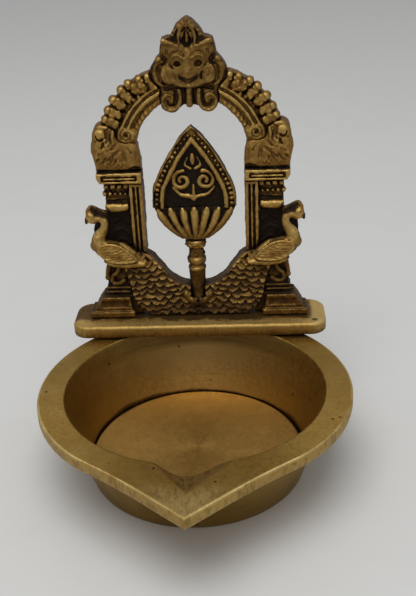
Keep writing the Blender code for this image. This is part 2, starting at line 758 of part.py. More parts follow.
def mask_outline():
    """The mask of a horned lion face: a leafy crest, broad ears and two hanging scrolls."""
    crest = ((14, 95), (27, 86), (36, 73), (42, 65), (54, 63), (65, 60), (69, 46), (72, 32))
    ears = ((85, 21), (96, 8), (100, -4), (95, -16), (82, -27), (74, -36), (76, -52))
    scrolls = ((73, -68), (64, -78), (49, -81), (35, -79), (26, -71), (15, -66))
    right = [mask_point(*p) for p in crest + ears + scrolls]
    return [mask_point(0, 100)] + right + [mask_point(0, -65)] + mirrored(right[::-1], -1)


def make_mask():
    """Plate of the mask with its face, ears, crest leaf and scrolls in relief."""
    front = PLATE_FRONT + MASK_RECESS
    solid = bevel(slab("mask", mask_outline(), front, PLATE_BACK), MASK_EDGE)

    def swelling(part, across, up, radii, tilt=0.0, depth=front):
        middle = mask_point(across, up)
        size = (radii[0] * MASK_HALF_WIDTH, radii[1] * FACE_PROUD, radii[2] * MASK_RISE)
        return ellipsoid(part, (middle.x, depth, middle.y), size, tilt, 10, 6)

    face_middle = mask_point(0, 7)
    face_place = (0.0, front, face_middle.y)
    beard_low, beard_high = mask_point(-12, -64), mask_point(12, -22)
    beard_edges, beard_levels = (beard_low.x, beard_high.x), (beard_low.y, beard_high.y)
    added = [
        ellipsoid("face", face_place, (FACE_HALF_WIDTH, FACE_PROUD, FACE_HALF_HEIGHT), 0.0, 16, 8),
        swelling("nose", 0, 0, (0.14, 0.55, 0.17), depth=front - 0.7 * FACE_PROUD),
        swelling("crest leaf", 0, 68, (0.18, 0.55, 0.26)),
        block("beard", beard_edges, beard_levels, front - 0.4 * FACE_PROUD, front + OVERCUT),
    ]
    scroll_steps = 9
    for side in (-1, 1):
        added.append(swelling("ear", side * 67, -2, (0.25, 0.67, 0.22), side * -0.3))
        added.append(swelling("horn", side * 49, 50, (0.18, 0.5, 0.12)))
        middle = mask_point(side * 48, -56)
        path = []
        for k in range(scroll_steps):
            turn = math.radians(-80 + 36 * k)
            radius = SCROLL_RADIUS * (1.0 - 0.06 * k)
            path.append(middle + Vector((side * radius * math.cos(turn), radius * math.sin(turn))))
        added.append(tube("scroll", path, [SCROLL_THICKNESS / 2 for _ in path], front, 6))
    fuse(solid, added)
    eyes = []
    for side in (-1, 1):
        place = (side * EYE_SPACING / 2, front - FACE_PROUD, mask_point(0, 17).y)
        eyes.append(ellipsoid("eye", place, (EYE_RADIUS, FACE_PROUD / 2, EYE_RADIUS), 0.0, 8, 6))
    return cut(solid, eyes)


def make_half_arch(name, side):
    """A quarter of a broad ring: leaf rolls round its outside and a fluted band within."""
    outer_centre = BEAST_FOOT + ARCH_OUTER_RISE
    inner_centre = BEAST_FOOT + ARCH_INNER_RISE
    bed = PLATE_FRONT + ARCH_RECESS
    end = math.radians(ARCH_END)
    outer = arc(outer_centre, ARCH_OUTER_RADIUS, 0.0, end, 16)
    inner = arc(inner_centre, ARCH_INNER_RADIUS, end, 0.0, 14)
    solid = slab(name, mirrored(outer + inner, side), bed, PLATE_BACK)

    def ring(part, inner_radius, outer_radius, front, back, past):
        """A part of the band, from a little before the arch's foot to a little past its end."""
        outside = arc(inner_centre, outer_radius, -past, end + past, 14)
        inside = arc(inner_centre, inner_radius, end + past, -past, 14)
        return slab(part, mirrored(outside + inside, side), front, back)

    band_front = bed - BAND_PROUD
    band_outer = ARCH_INNER_RADIUS + BAND_WIDTH
    band = ring("band", ARCH_INNER_RADIUS + BAND_LIP, band_outer, band_front, bed + OVERCUT, 0.0)
    flutes = []
    for share in (0.44, 0.73):
        radius = ARCH_INNER_RADIUS + BAND_WIDTH * share
        edges = (radius - FLUTE_WIDTH / 2, radius + FLUTE_WIDTH / 2)
        flutes.append(ring("flute", *edges, band_front - OVERCUT, band_front + FLUTE_DEPTH, 0.1))
    cut(band, flutes)

    rolls = []
    for k in range(ROLLS_PER_SIDE):
        turn = math.radians(ROLLS_FROM + (ROLLS_TO - ROLLS_FROM) * k / (ROLLS_PER_SIDE - 1))
        radius = ARCH_OUTER_RADIUS - ROLL_LENGTH / 2 + ARCH_EDGE
        place = (side * radius * math.cos(turn), bed + ARCH_EDGE, outer_centre + radius * math.sin(turn))
        radii = (ROLL_LENGTH / 2, ROLL_PROUD, ROLL_RADIUS)
        rolls.append(ellipsoid("roll", place, radii, side * turn, 8, 6))
    fuse(solid, [band] + rolls)

    past_front, past_back = PLATE_FRONT - WELL_CLEAR, PLATE_BACK + OVERCUT
    mask_seat = slab("mask seat", grown(mask_outline(), JOINT_GAP), past_front, past_back)
    beast_shape = mirrored(grown(beast_outline(), JOINT_GAP), side)
    beast_seat = slab("beast seat", beast_shape, past_front, past_back)
    foot = BEAST_FOOT + BEAST_HEIGHT / 2
    below = block("below", (0.0, side * WELL_CLEAR), (0.0, foot), past_front, past_back)
    return cut(solid, [mask_seat, beast_seat, below])


# Spear: stem, petal cup and blade


def make_stem():
    """The turned stem, ringed near its top, standing on the tails."""
    foot_to_ring = ((0.95, 0.0), (0.95, 0.43), (1.06, 0.47), (1.08, 0.51), (0.98, 0.53), (0.98, 0.57))
    ring_to_neck = ((1.12, 0.6), (1.12, 0.67), (1.0, 0.69), (1.0, 0.84))
    collar = ((1.25, 0.88), (1.28, 0.95), (1.1, 1.0))
    profile = foot_to_ring + ring_to_neck + collar
    rings = [(radius * STEM_RADIUS, STEM_FOOT + height * STEM_HEIGHT) for radius, height in profile]
    return turned("spear_stem", rings, (0.0, PLATE_FRONT + STEM_SETBACK), 16)


def make_cup():
    """The lotus cup under the blade: a half bowl of petals, fanned out from the stem."""
    middle = PLATE_FRONT + STEM_SETBACK
    front = middle - BLADE_THICKNESS / 2
    back = middle + BLADE_THICKNESS / 2
    top = CUP_FOOT + CUP_HEIGHT
    neck = 1.35 * STEM_RADIUS
    swell = Vector((0.7 * BLADE_HALF_WIDTH, CUP_FOOT + 0.4 * CUP_HEIGHT))
    curve = curve_through([Vector((neck, CUP_FOOT)), swell, Vector((BLADE_HALF_WIDTH, top))], 4)
    solid = bevel(slab("petal_cup", curve + mirrored(curve[::-1], -1), front, back), CUP_EDGE)
    petals = []
    for k in range(PETAL_COUNT):
        share = 2 * k / (PETAL_COUNT - 1) - 1
        root = Vector((share * neck * 0.7, CUP_FOOT))
        tip = Vector((share * (BLADE_HALF_WIDTH - PETAL_WIDTH / 2), top - 0.1 * CUP_HEIGHT * abs(share)))
        along = tip - root
        centre = root + along * 0.52
        lean = math.atan2(along.x, along.y)
        proud = PETAL_PROUD * math.sqrt(1.0 - 0.75 * share**2)
        radii = (PETAL_WIDTH / 2, proud, along.length * 0.46)
        petals.append(ellipsoid("petal", (centre.x, front, centre.y), radii, -lean, 8, 6))
    fuse(solid, petals)
    edges = (-WELL_CLEAR, WELL_CLEAR)
    above = block("above", edges, (top, WELL_CLEAR), -WELL_CLEAR, WELL_CLEAR)
    below = block("below", edges, (0.0, CUP_FOOT), -WELL_CLEAR, WELL_CLEAR)
    return cut(solid, [above, below])


def blade_outline(inset):
    """The leaf blade of the spear: straight foot, full sides and a pointed tip."""
    half = BLADE_HALF_WIDTH
    lower = ((1.0, 0.0), (0.99, 0.14), (0.93, 0.28), (0.8, 0.43))
    upper = ((0.62, 0.6), (0.42, 0.76), (0.2, 0.905), (0.0, 1.0))
    right = curve_through([Vector((half * x, BLADE_FOOT + BLADE_HEIGHT * z)) for x, z in lower + upper], 2)
    outline = right + mirrored(right[-2::-1], -1)
    moved = grown(outline, -inset)[1 : len(right)]
    kept = [p for p in moved if p.x > half / 20]
    kept.insert(0, Vector((kept[0].x, BLADE_FOOT + inset * BLADE_FOOT_BORDER / BLADE_BORDER)))
    slope = (kept[-1] - kept[-2]) / (kept[-1].x - kept[-2].x)
    tip = kept[-1] - slope * kept[-1].x
    return kept + [tip] + mirrored(kept[::-1], -1)


def make_blade():
    """The blade with a raised border, a rib inside it and a sunk panel."""
    front = PLATE_FRONT + STEM_SETBACK - BLADE_THICKNESS / 2
    back = PLATE_FRONT + STEM_SETBACK + BLADE_THICKNESS / 2
    past_front = front - 2 * OVERCUT
    solid = bevel(slab("spear_blade", blade_outline(0.0), front, back), BLADE_EDGE)
    panel = slab("panel", blade_outline(BLADE_BORDER), past_front, front + PANEL_DEPTH)
    channel = slab("channel", blade_outline(BLADE_LIP), past_front, front + PANEL_DEPTH / 2)
    rib = slab("rib", blade_outline(BLADE_BORDER - RIB_WIDTH), past_front - OVERCUT, back)
    cut(channel, [rib])
    return cut(solid, [panel, channel])


def main():
    clear_scene()
    lamp = bpy.data.objects.new("lamp", None)
    bpy.context.scene.collection.objects.link(lamp)
    lamp.location = (0.0, LAMP_MIDDLE, 0.0)

    for piece in (make_bowl(), make_floor(), make_bar()):
        finish_piece(piece, TURNED_COLOUR, TURNED_ROUGHNESS, lamp)
    plate_pieces = [make_mask(), make_stem(), make_cup(), make_blade()]
    for word, side in (("left", -1), ("right", 1)):
        plate_pieces += [
            make_plinth(f"{word}_plinth", side),
            make_pillar(f"{word}_pillar", side),
            make_capital(f"{word}_capital", side),
            make_beast(f"{word}_beast_block", side),
            make_half_arch(f"{word}_half_arch", side),
            make_peacock(f"{word}_peacock", side),
        ]
    for piece in plate_pieces:
        finish_piece(piece, ANTIQUE_COLOUR, ANTIQUE_ROUGHNESS, lamp)


main()
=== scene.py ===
"""The looks of the brass oil lamp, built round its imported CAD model.

The cast ornament of the back plate is made as distance fields on a fine grid, one for each piece, and
turned into meshes. How deep each point lies in the relief is kept as an attribute, which the material
reads to lay dark patina in the hollows and bare brass on the ridges.
"""

import math

import bpy
import numpy as np
from mathutils import Matrix, Vector


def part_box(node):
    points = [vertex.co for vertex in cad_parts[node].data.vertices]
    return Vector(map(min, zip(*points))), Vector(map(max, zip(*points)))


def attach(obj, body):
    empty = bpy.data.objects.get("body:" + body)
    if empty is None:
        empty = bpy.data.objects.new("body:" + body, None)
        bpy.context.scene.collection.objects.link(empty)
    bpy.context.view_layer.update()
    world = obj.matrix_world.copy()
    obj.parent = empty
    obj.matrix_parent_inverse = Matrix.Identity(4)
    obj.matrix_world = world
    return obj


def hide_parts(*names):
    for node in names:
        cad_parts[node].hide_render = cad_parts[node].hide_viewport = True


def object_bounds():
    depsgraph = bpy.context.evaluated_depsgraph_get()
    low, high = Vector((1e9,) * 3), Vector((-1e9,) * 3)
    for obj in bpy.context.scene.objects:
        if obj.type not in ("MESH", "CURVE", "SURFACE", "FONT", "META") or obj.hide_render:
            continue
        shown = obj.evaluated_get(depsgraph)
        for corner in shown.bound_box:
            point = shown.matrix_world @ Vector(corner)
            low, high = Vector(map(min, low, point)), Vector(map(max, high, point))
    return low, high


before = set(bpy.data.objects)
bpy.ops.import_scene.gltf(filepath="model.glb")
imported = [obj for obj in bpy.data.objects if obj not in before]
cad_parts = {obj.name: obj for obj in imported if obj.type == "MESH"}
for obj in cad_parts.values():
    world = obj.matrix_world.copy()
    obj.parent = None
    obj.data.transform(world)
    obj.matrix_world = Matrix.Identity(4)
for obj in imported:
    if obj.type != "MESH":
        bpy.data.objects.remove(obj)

cad_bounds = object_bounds()

MM = 0.001
STEP = 0.17  # grid step of the cast ornament, in millimetres
FAR = 3.0  # distance that stands for empty space
MARGIN = 0.8  # room round each shape on the grid

# The bowl's axis, from the frame: its rim is round at the back and at both sides
bowl_low, bowl_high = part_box("bowl")
RIM_RADIUS = (bowl_high.x - bowl_low.x) / 2 / MM
AXIS_Y = bowl_high.y / MM - RIM_RADIUS


def span(node):
    """Lowest and highest corner of a node in millimetres, with the bowl's axis at x = y = 0."""
    low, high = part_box(node)
    shift = Vector((0.0, AXIS_Y, 0.0))
    return low / MM - shift, high / MM - shift


PLATE_FRONT = span("right_pillar")[0].y
BIRD_FOOT = span("right_peacock")[0].z
STEM_AXIS = (span("spear_stem")[0].y + span("spear_stem")[1].y) / 2


def unit(value):
    """A value held between 0 and 1."""
    return np.clip(value, 0.0, 1.0)


# Curves


def curve_through(points, steps, closed=False):
    """Points of a smooth curve through the given points. One step leaves the points as they are."""
    points = np.array(points, float)
    count = len(points)
    made = []
    for i in range(count if closed else count - 1):
        near = np.arange(i - 1, i + 3)
        a, b, c, d = points[near % count if closed else np.clip(near, 0, count - 1)]
        for t in np.arange(steps) / steps:
            bend = (2 * a - 5 * b + 4 * c - d) * t**2
            twist = (3 * b - a - 3 * c + d) * t**3
            made.append(tuple(0.5 * (2 * b + (c - a) * t + bend + twist)))
    return made if closed else made + [tuple(points[-1])]


def moved(points, x, z):
    return [(x + u, z + w) for u, w in points]


def mirror(points):
    return [(-x, z) for x, z in points]


def spiral(centre, start, turns, first, last, steps, hand):
    """Points of a spiral about a centre in the plate, from radius first to radius last."""
    shares = np.arange(steps + 1) / steps
    angles = math.radians(start) + hand * 2 * math.pi * turns * shares
    radii = first + (last - first) * shares
    return [(centre[0] + r * math.cos(t), centre[1] + r * math.sin(t)) for r, t in zip(radii, angles)]


# Distance fields: a shape is (low corner, high corner, function of x, y, z)


def ball(centre, radii, tilt=0.0):
    """An ellipsoid, tilted in the plane of the plate."""
    centre = np.array(centre)
    widest = max(radii[0], radii[2])
    reach = np.array((widest, radii[1], widest))
    cos, sin = math.cos(tilt), math.sin(tilt)

    def distance(x, y, z):
        x, y, z = x - centre[0], y - centre[1], z - centre[2]
        parts = (x * cos + z * sin, y, z * cos - x * sin)
        near = np.sqrt(sum((p / r) ** 2 for p, r in zip(parts, radii))) + 1e-6
        slope = np.sqrt(sum((p / r**2) ** 2 for p, r in zip(parts, radii))) + 1e-6
        return near * (near - 1.0) / slope

    return centre - reach, centre + reach, distance


def stroke(points, radii, depth, flat=1.0):
    """A round bead along points of the plate. Radii and depth may change from end to end."""
    shares = np.linspace(0.0, 1.0, len(points))

    def spread(values):
        values = np.atleast_1d(values)
        return np.interp(shares, np.linspace(0.0, 1.0, len(values)), values)

    points = np.array(points)
    spine = np.column_stack([points[:, 0], spread(depth), points[:, 1]])
    radii = spread(radii)
    room = radii.max() * np.array((1.0, 1.0 / flat, 1.0))

    def distance(x, y, z):
        best = np.inf
        for a, b, first, last in zip(spine, spine[1:], radii, radii[1:]):
            way = b - a
            along = (x - a[0]) * way[0] + (z - a[2]) * way[2]
            along = unit(along / max(way[0] ** 2 + way[2] ** 2, 1e-9))
            off = np.sqrt(
                (x - a[0] - way[0] * along) ** 2
                + ((y - a[1] - way[1] * along) * flat) ** 2
                + (z - a[2] - way[2] * along) ** 2
            )
            best = np.minimum(best, off - (first + (last - first) * along))
        return best

    return spine.min(axis=0) - room, spine.max(axis=0) + room, distance


def outline_distance(outline, x, z):
    """Signed distance to a closed outline in two dimensions, below 0 inside it."""
    best = np.full(np.broadcast(x, z).shape, 1e9)
    inside = np.zeros(best.shape, bool)
    for a, b in zip(outline, np.roll(outline, -1, axis=0)):
        way = b - a
        dx, dz = x - a[0], z - a[1]
        along = unit((dx * way[0] + dz * way[1]) / max(way @ way, 1e-12))
        best = np.minimum(best, (dx - way[0] * along) ** 2 + (dz - way[1] * along) ** 2)
        crosses = (a[1] <= z) != (b[1] <= z)
        left = (way[0] * dz - way[1] * dx) > 0
        inside ^= crosses & (left == (b[1] > a[1]))
    return np.where(inside, -1.0, 1.0) * np.sqrt(best)


def prism(outline, front, back, edge):
    """A slab with an outline in the plate, from front to back, its edges rounded."""
    outline = np.array(outline, float)
    middle, half = (front + back) / 2, (back - front) / 2

    def distance(x, y, z):
        across = outline_distance(outline, x[:, 0, :], z[:, 0, :])[:, None, :] + edge
        through = np.abs(y - middle) - half + edge
        outside = np.sqrt(np.maximum(across, 0.0) ** 2 + np.maximum(through, 0.0) ** 2)
        return np.minimum(np.maximum(across, through), 0.0) + outside - edge

    (x0, z0), (x1, z1) = outline.min(axis=0), outline.max(axis=0)
    return (x0, front, z0), (x1, back, z1), distance


def turned(profile, axis_depth, edge):
    """A solid turned about the upright axis x = 0, from (radius, height) points."""
    outline = np.array(profile + mirror(profile[::-1]))
    most, top = outline.max(axis=0)

    def distance(x, y, z):
        return outline_distance(outline, np.sqrt(x**2 + (y - axis_depth) ** 2), z) - edge

    return (-most, axis_depth - most, outline[:, 1].min()), (most, axis_depth + most, top), distance


SLOPE_SHARE = 0.8  # a sloping front is nearer than it is deep


def displaced(shape, front, depth_at):
    """A shape whose front is pushed back by a depth that changes over the plate."""
    low, high, distance = shape

    def pushed(x, y, z):
        pressed = front + depth_at(x[:, 0, :], z[:, 0, :])[:, None, :]
        return np.maximum(distance(x, y, z), (pressed - y) * SLOPE_SHARE)

    return low, high, pushed


def smooth_min(a, b, blend):
    if blend <= 0:
        return np.minimum(a, b)
    near = np.maximum(blend - np.abs(a - b), 0.0) / blend
    return np.minimum(a, b) - near * near * blend / 4


def corners(u_range, w_range):
    (u0, u1), (w0, w1) = u_range, w_range
    return [(u0, w0), (u1, w0), (u1, w1), (u0, w1)]


class Cast:
    """One casting: a distance field on the plate's grid, and the mesh that it becomes.

    It is drawn from an origin, its node's low corner unless given: u runs across the plate, w up and y
    back. Its curves have so many steps from one given point to the next. A twin casting stands across the
    middle plane, and each of its domes, pits, beads and grooves is drawn on both sides.
    """

    def __init__(self, name, x=None, front=None, z=None, steps=4, twin=False):
        self.name, self.steps, self.twin = name, steps, twin
        self.low, self.high = span(name)
        self.x = self.low.x if x is None else x
        self.front = self.low.y if front is None else front
        self.z = self.low.z if z is None else z
        self.back = self.high.y - self.front
        self.tall = self.high.z - self.z
        self.first = np.floor((np.array(self.low) - MARGIN) / STEP).astype(int)
        count = np.ceil((np.array(self.high) + MARGIN) / STEP).astype(int) - self.first + 1
        self.axes = [(self.first[i] + np.arange(count[i])) * STEP for i in range(3)]
        self.field = np.full(count, FAR, np.float32)
        self.stains_and_shade = []
        self.patina = 1.0

    def window(self, low, high):
        """The part of the grid round a shape, and its coordinates."""
        parts = []
        for axis, start, end in zip(self.axes, low, high):
            first = np.searchsorted(axis, start - MARGIN)
            last = np.searchsorted(axis, end + MARGIN)
            parts.append(slice(first, max(last, first)))
        return tuple(parts), np.ix_(*(axis[part] for axis, part in zip(self.axes, parts)))

    def join(self, shape, blend, sign):
        low, high, distance = shape
        place, spots = self.window(low, high)
        if self.field[place].size:
            self.field[place] = sign * smooth_min(sign * self.field[place], distance(*spots), blend)

    def add(self, shape, blend=0.25):
        self.join(shape, blend, 1)

    def cut(self, shape, blend=0.15):
        self.join(shape, blend, -1)

    def stain_and_shade(self, shape, amount):
        """Marks what lies in a shape as blackened."""
        self.stains_and_shade.append((shape, amount))

    def keep_within(self, shape):
        """Cuts away what lies outside a shape."""
        low, high, distance = shape
        place, spots = self.window(low, high)
        kept = np.full(self.field.shape, FAR, np.float32)
        kept[place] = np.maximum(self.field[place], distance(*spots))
        self.field = kept

    def at(self, u, w, y):
        return self.x + u, self.front + y, self.z + w

    def balls(self, u, w, y, radii, tilt):
        yield ball(self.at(u, w, y), radii, tilt)
        if self.twin and u:
            yield ball(self.at(-u, w, y), radii, -tilt)

    def dome(self, u, w, y, radii, blend=0.25, tilt=0.0):
        for shape in self.balls(u, w, y, radii, tilt):
            self.add(shape, blend)

    def pit(self, u, w, y, radii, blend=0.15, tilt=0.0):
        for shape in self.balls(u, w, y, radii, tilt):
            self.cut(shape, blend)

    def path(self, points, steps=None):
        return curve_through(moved(points, self.x, self.z), steps or self.steps)

    def strokes(self, points, radii, y, flat, steps):
        path = self.path(points, steps)
        yield stroke(path, radii, self.front + y, flat)
        if self.twin:
            yield stroke(mirror(path), radii, self.front + y, flat)

    def bead(self, points, radii, y, blend=0.15, flat=1.0, steps=None):
        for shape in self.strokes(points, radii, y, flat, steps):
            self.add(shape, blend)

    def groove(self, points, radii, y, blend=0.1, flat=1.0, steps=None):
        for shape in self.strokes(points, radii, y, flat, steps):
            self.cut(shape, blend)

    def chase(self, points, radii, y, blend=0.1, deeper=0.35):
        """A line cut twice, the second time deeper."""
        for depth in (y, y + deeper):
            self.groove(points, radii, depth, blend)

    def slab(self, outline, y_range, edge=0.0):
        front, back = y_range
        return prism(moved(outline, self.x, self.z), self.front + front, self.front + back, edge)

    def panel(self, outline, y_range, edge, blend=0.1):
        self.add(self.slab(outline, y_range, edge), blend)

    def block(self, u_range, w_range, y_range, edge, blend=0.1):
        self.panel(corners(u_range, w_range), y_range, edge, blend)

    def notch(self, u_range, w_range, y_range, edge=0.0, blend=0.0):
        self.cut(self.slab(corners(u_range, w_range), y_range, edge), blend)

    def darken(self, u_range, w_range, y_range, amount):
        self.stain_and_shade(self.slab(corners(u_range, w_range), y_range), amount)

    def seat(self, outline, gap=0.08):
        """Cuts away the place of another casting, by its outline in the plate, and a gap round it."""
        low, high, distance = prism(outline, self.low.y - FAR, self.high.y + FAR, 0.0)
        self.cut((low, high, lambda x, y, z: distance(x, y, z) - gap), 0.0)

    def roughen(self, amount):
        """Uneven casting: slow waves in the surface, the same at each run."""
        draw = np.random.default_rng(7)
        x, y, z = np.ix_(*self.axes)
        for slowest, fastest, share in ((0.6, 2.4, 1.0), (3.0, 6.5, 0.55)):
            for _ in range(10):
                way = draw.normal(size=3)
                way *= draw.uniform(slowest, fastest) / np.linalg.norm(way)
                wave = np.sin(way[0] * x + way[1] * y + way[2] * z + draw.uniform(0, 2 * math.pi))
                self.field += (share * amount / 3 * wave).astype(np.float32)

    def surface(self):
        """Points and quads where the field crosses 0: one point in each crossed cell of the grid."""
        cells = np.array(self.field.shape) - 1
        total = int(np.prod(cells))
        sums = np.zeros((3, total))
        counts = np.zeros(total)
        quads = []
        for axis in range(3):
            starts, ends = [slice(None)] * 3, [slice(None)] * 3
            starts[axis], ends[axis] = slice(None, -1), slice(1, None)
            a, b = self.field[tuple(starts)], self.field[tuple(ends)]
            at = np.argwhere((a < 0) != (b < 0))
            va, vb = a[tuple(at.T)], b[tuple(at.T)]
            spot = at.astype(float)
            spot[:, axis] += va / (va - vb)
            # The four cells round each crossed line of the grid
            one, two = np.delete(np.eye(3, dtype=int), axis, axis=0)
            near = [at, at - one, at - one - two, at - two]
            good = np.all([(c >= 0).all(1) & (c < cells).all(1) for c in near], axis=0)
            index = [np.ravel_multi_index(c[good].T, cells) for c in near]
            for cell in index:
                counts += np.bincount(cell, minlength=total)
                for k in range(3):
                    sums[k] += np.bincount(cell, spot[good, k], minlength=total)
            loop = np.stack(index, axis=1)
            turned_over = (va[good] < 0) == (axis != 1)
            loop[turned_over] = loop[turned_over][:, ::-1]
            quads.append(loop)
        used = np.flatnonzero(counts)
        number = np.full(total, -1)
        number[used] = np.arange(len(used))
        points = (sums[:, used] / counts[used]).T + self.first
        return points * STEP, number[np.concatenate(quads)][:, ::-1]


def sample(field, first, points):
    """A field's values at points, between its grid points."""
    place = np.clip(points / STEP - first, 0.0, np.array(field.shape) - 1.001)
    base = place.astype(int)
    part = place - base
    total = np.zeros(len(points))
    for corner in np.ndindex(2, 2, 2):
        weight = np.prod(np.abs(1 - np.array(corner) - part), axis=1)
        total += weight * field[tuple((base + corner).T)]
    return total


# The castings of the back plate, right-hand ones drawn and left-hand ones mirrored


def make_plinth():
    """A stepped block: a low slab, and on it a block with a sloping outer end."""
    wide = 10.7
    cast = Cast("right_plinth", x=span("right_plinth")[1].x - wide)
    tall, back = cast.tall, cast.back
    cast.block((0, wide), (0, 1.4), (0, back), 0.25, 0.25)
    slope = [(0.6, 1.0), (10.0, 1.0), (9.4, 2.3), (8.5, 4.0), (7.6, 5.1), (0.9, 5.1), (0.7, 3.0)]
    cast.panel(slope, (0.55, back), 0.35)
    cast.block((cast.low.x - cast.x, 1.5), (0, tall), (PLATE_FRONT - cast.front + 0.3, back), 0.1)
    cast.seat(tail_outline())
    cast.darken((-3.0, wide + 1.0), (0, tall + 1.0), (-1.0, back), 0.34)
    cast.darken((-3.0, wide), (1.5, tall + 1.0), (0.75, back), 0.62)
    cast.bead([(0.3, 1.15), (10.3, 1.15)], 0.26, 0.22, 0.1)
    cast.groove([(0.3, 1.75), (9.8, 1.75)], 0.26, 0.5, 0.15)
    cast.bead([(1.4, 4.7), (7.3, 4.7)], 0.28, 0.8)
    cast.notch((1.3, 7.9), (2.3, 4.1), (-1.0, 0.85), 0.35, 0.3)
    return cast


def tail_outline():
    """The right-hand tail of the CAD model, from the spear's foot to the pillar."""
    foot = BIRD_FOOT
    ledge = span("spear_stem")[0].z - 0.2
    top = [(1.6, 7.5), (4.4, 8.3), (6.2, 9.7), (8.2, 12.2), (10.2, 14.7), (11.6, 15.9), (13.6, 16.5)]
    side = [(15.8, 15.5), (17.3, 13.7), (17.0, 11.5), (16.1, 8.8), (15.8, 6.1)]
    toe = [(15.0, 3.5), (13.6, 1.3), (11.6, 0.0)]
    smooth = curve_through(moved(top + side + toe, 0.0, foot), 2)
    return [(0.02, foot), (0.02, ledge), (1.75, ledge)] + smooth


def make_pillar():
    """The fluted strip, the recessed dark shaft and the pedestal with its carved legs."""
    cast = Cast("right_pillar")
    tall, back = cast.tall, cast.back
    cast.block((0, 3.0), (0, tall), (0, back), 0.2, 0.25)
    cast.block((0, 3.25), (20.4, tall), (0.9, back), 0.05, 0.05)
    cast.block((2.6, 8.9), (0, 20.7), (1.8, back), 0.2)
    # The shaft widens behind the bird's neck
    web = [(19.3, 18.4), (23.5, 18.4), (24.0, 20.1), (24.05, 21.8), (23.5, 24.05), (23.1, 25.7), (19.3, 25.7)]
    cast.add(prism(moved(web, 0.0, BIRD_FOOT), cast.front + 1.8, cast.high.y, 0.15), 0.1)
    pedestal = [(2.8, 0.0), (10.5, 0.0), (10.5, 1.2), (10.1, 1.8), (10.1, 6.0), (9.7, 8.5), (2.8, 8.5)]
    cast.panel(pedestal, (1.3, back), 0.3)
    for u, width in ((1.06, 0.24), (2.04, 0.27)):
        cast.notch((u - width, u + width), (0, tall - 0.6), (-1.0, 0.9), 0.15, 0.15)
    for w in (10.0, 12.6, 15.2, 17.8):
        cast.bead([(4.0, w), (5.6, w + 1.2), (7.4, w + 0.4)], 0.28, 1.85, 0.3)
    cast.bead([(4.6, 1.5), (10.3, 1.5)], 0.34, 0.95, 0.12)
    cast.bead([(4.6, 0.35), (10.3, 0.35)], 0.3, 1.0, 0.12)
    legs = (
        [(7.2, 8.3), (7.0, 6.7), (7.7, 5.4), (8.6, 4.7), (8.8, 3.2)],
        [(9.1, 8.3), (9.5, 6.8), (9.9, 5.3), (9.7, 3.9)],
        [(6.0, 3.4), (7.2, 2.6), (8.4, 2.7)],
    )
    for leg in legs:
        cast.bead(leg, (0.62, 0.5), 0.95)
    cast.dome(10.0, 4.2, 1.0, (0.6, 0.7, 0.75), 0.2)
    cast.darken((3.5, 10.6), (-1.0, 8.4), (-1.0, back), 0.32)
    cast.darken((3.0, 12.6), (0, 21.0), (1.25, back), 1.0)
    cast.seat(tail_outline())
    return cast


def make_capital():
    """The abacus with its sunk panel; dentils, a row of beads and a cushion below it."""
    cast = Cast("right_capital")
    back = cast.back
    neck = PLATE_FRONT - cast.front + 1.6
    cast.panel([(0.0, 7.1), (9.7, 7.1), (10.4, 8.4), (10.4, 9.6), (0.0, 9.6)], (0, back), 0.28, 0.25)
    cast.block((3.15, 8.9), (0, 7.4), (neck, back), 0.08)
    cast.notch((1.1, 9.2), (7.62, 8.85), (-1.0, 0.85), 0.15, 0.1)
    cast.block((1.5, 8.8), (8.02, 8.46), (0.1, 1.2), 0.12, 0.05)
    for u in (3.8, 5.3, 6.8, 8.4):
        cast.block((u - 0.55, u + 0.55), (5.7, 6.7), (0.9, neck + 0.5), 0.3, 0.12)
    for u, size in ((4.0, 0.36), (5.2, 0.42), (6.4, 0.45), (7.6, 0.48), (8.8, 0.6)):
        cast.dome(u, 4.35, neck - 0.1, (size, 0.95, size * 1.15), 0.12)
    cast.bead([(3.5, 3.0), (8.8, 3.0)], 0.26, neck)
    cushion = [(3.4, 1.0), (4.0, 0.35), (5.2, 0.05), (7.2, 0.05)]
    cushion += [(8.3, 0.4), (8.9, 1.1), (8.8, 2.1), (3.4, 2.1)]
    cast.panel(cushion, (0.4, back - 0.5), 0.75)
    # Nothing hangs below the capital's foot
    cast.notch((-5, 20), (-5, 0), (-5, back + 5))
    return cast


def beast_outline():
    foot = span("right_beast_block")[0]
    right = [(10.6, 2.7), (11.0, 4.9), (10.6, 7.1), (10.4, 8.9), (9.8, 10.2), (8.6, 10.9), (7.2, 10.5)]
    left = [(5.7, 9.4), (5.0, 7.6), (3.9, 6.6), (0.9, 6.2), (0.4, 4.4), (0.0, 2.2)]
    return moved([(10.4, 0.0)] + curve_through(right + left, 3) + [(0.0, 0.0)], foot.x, foot.z)


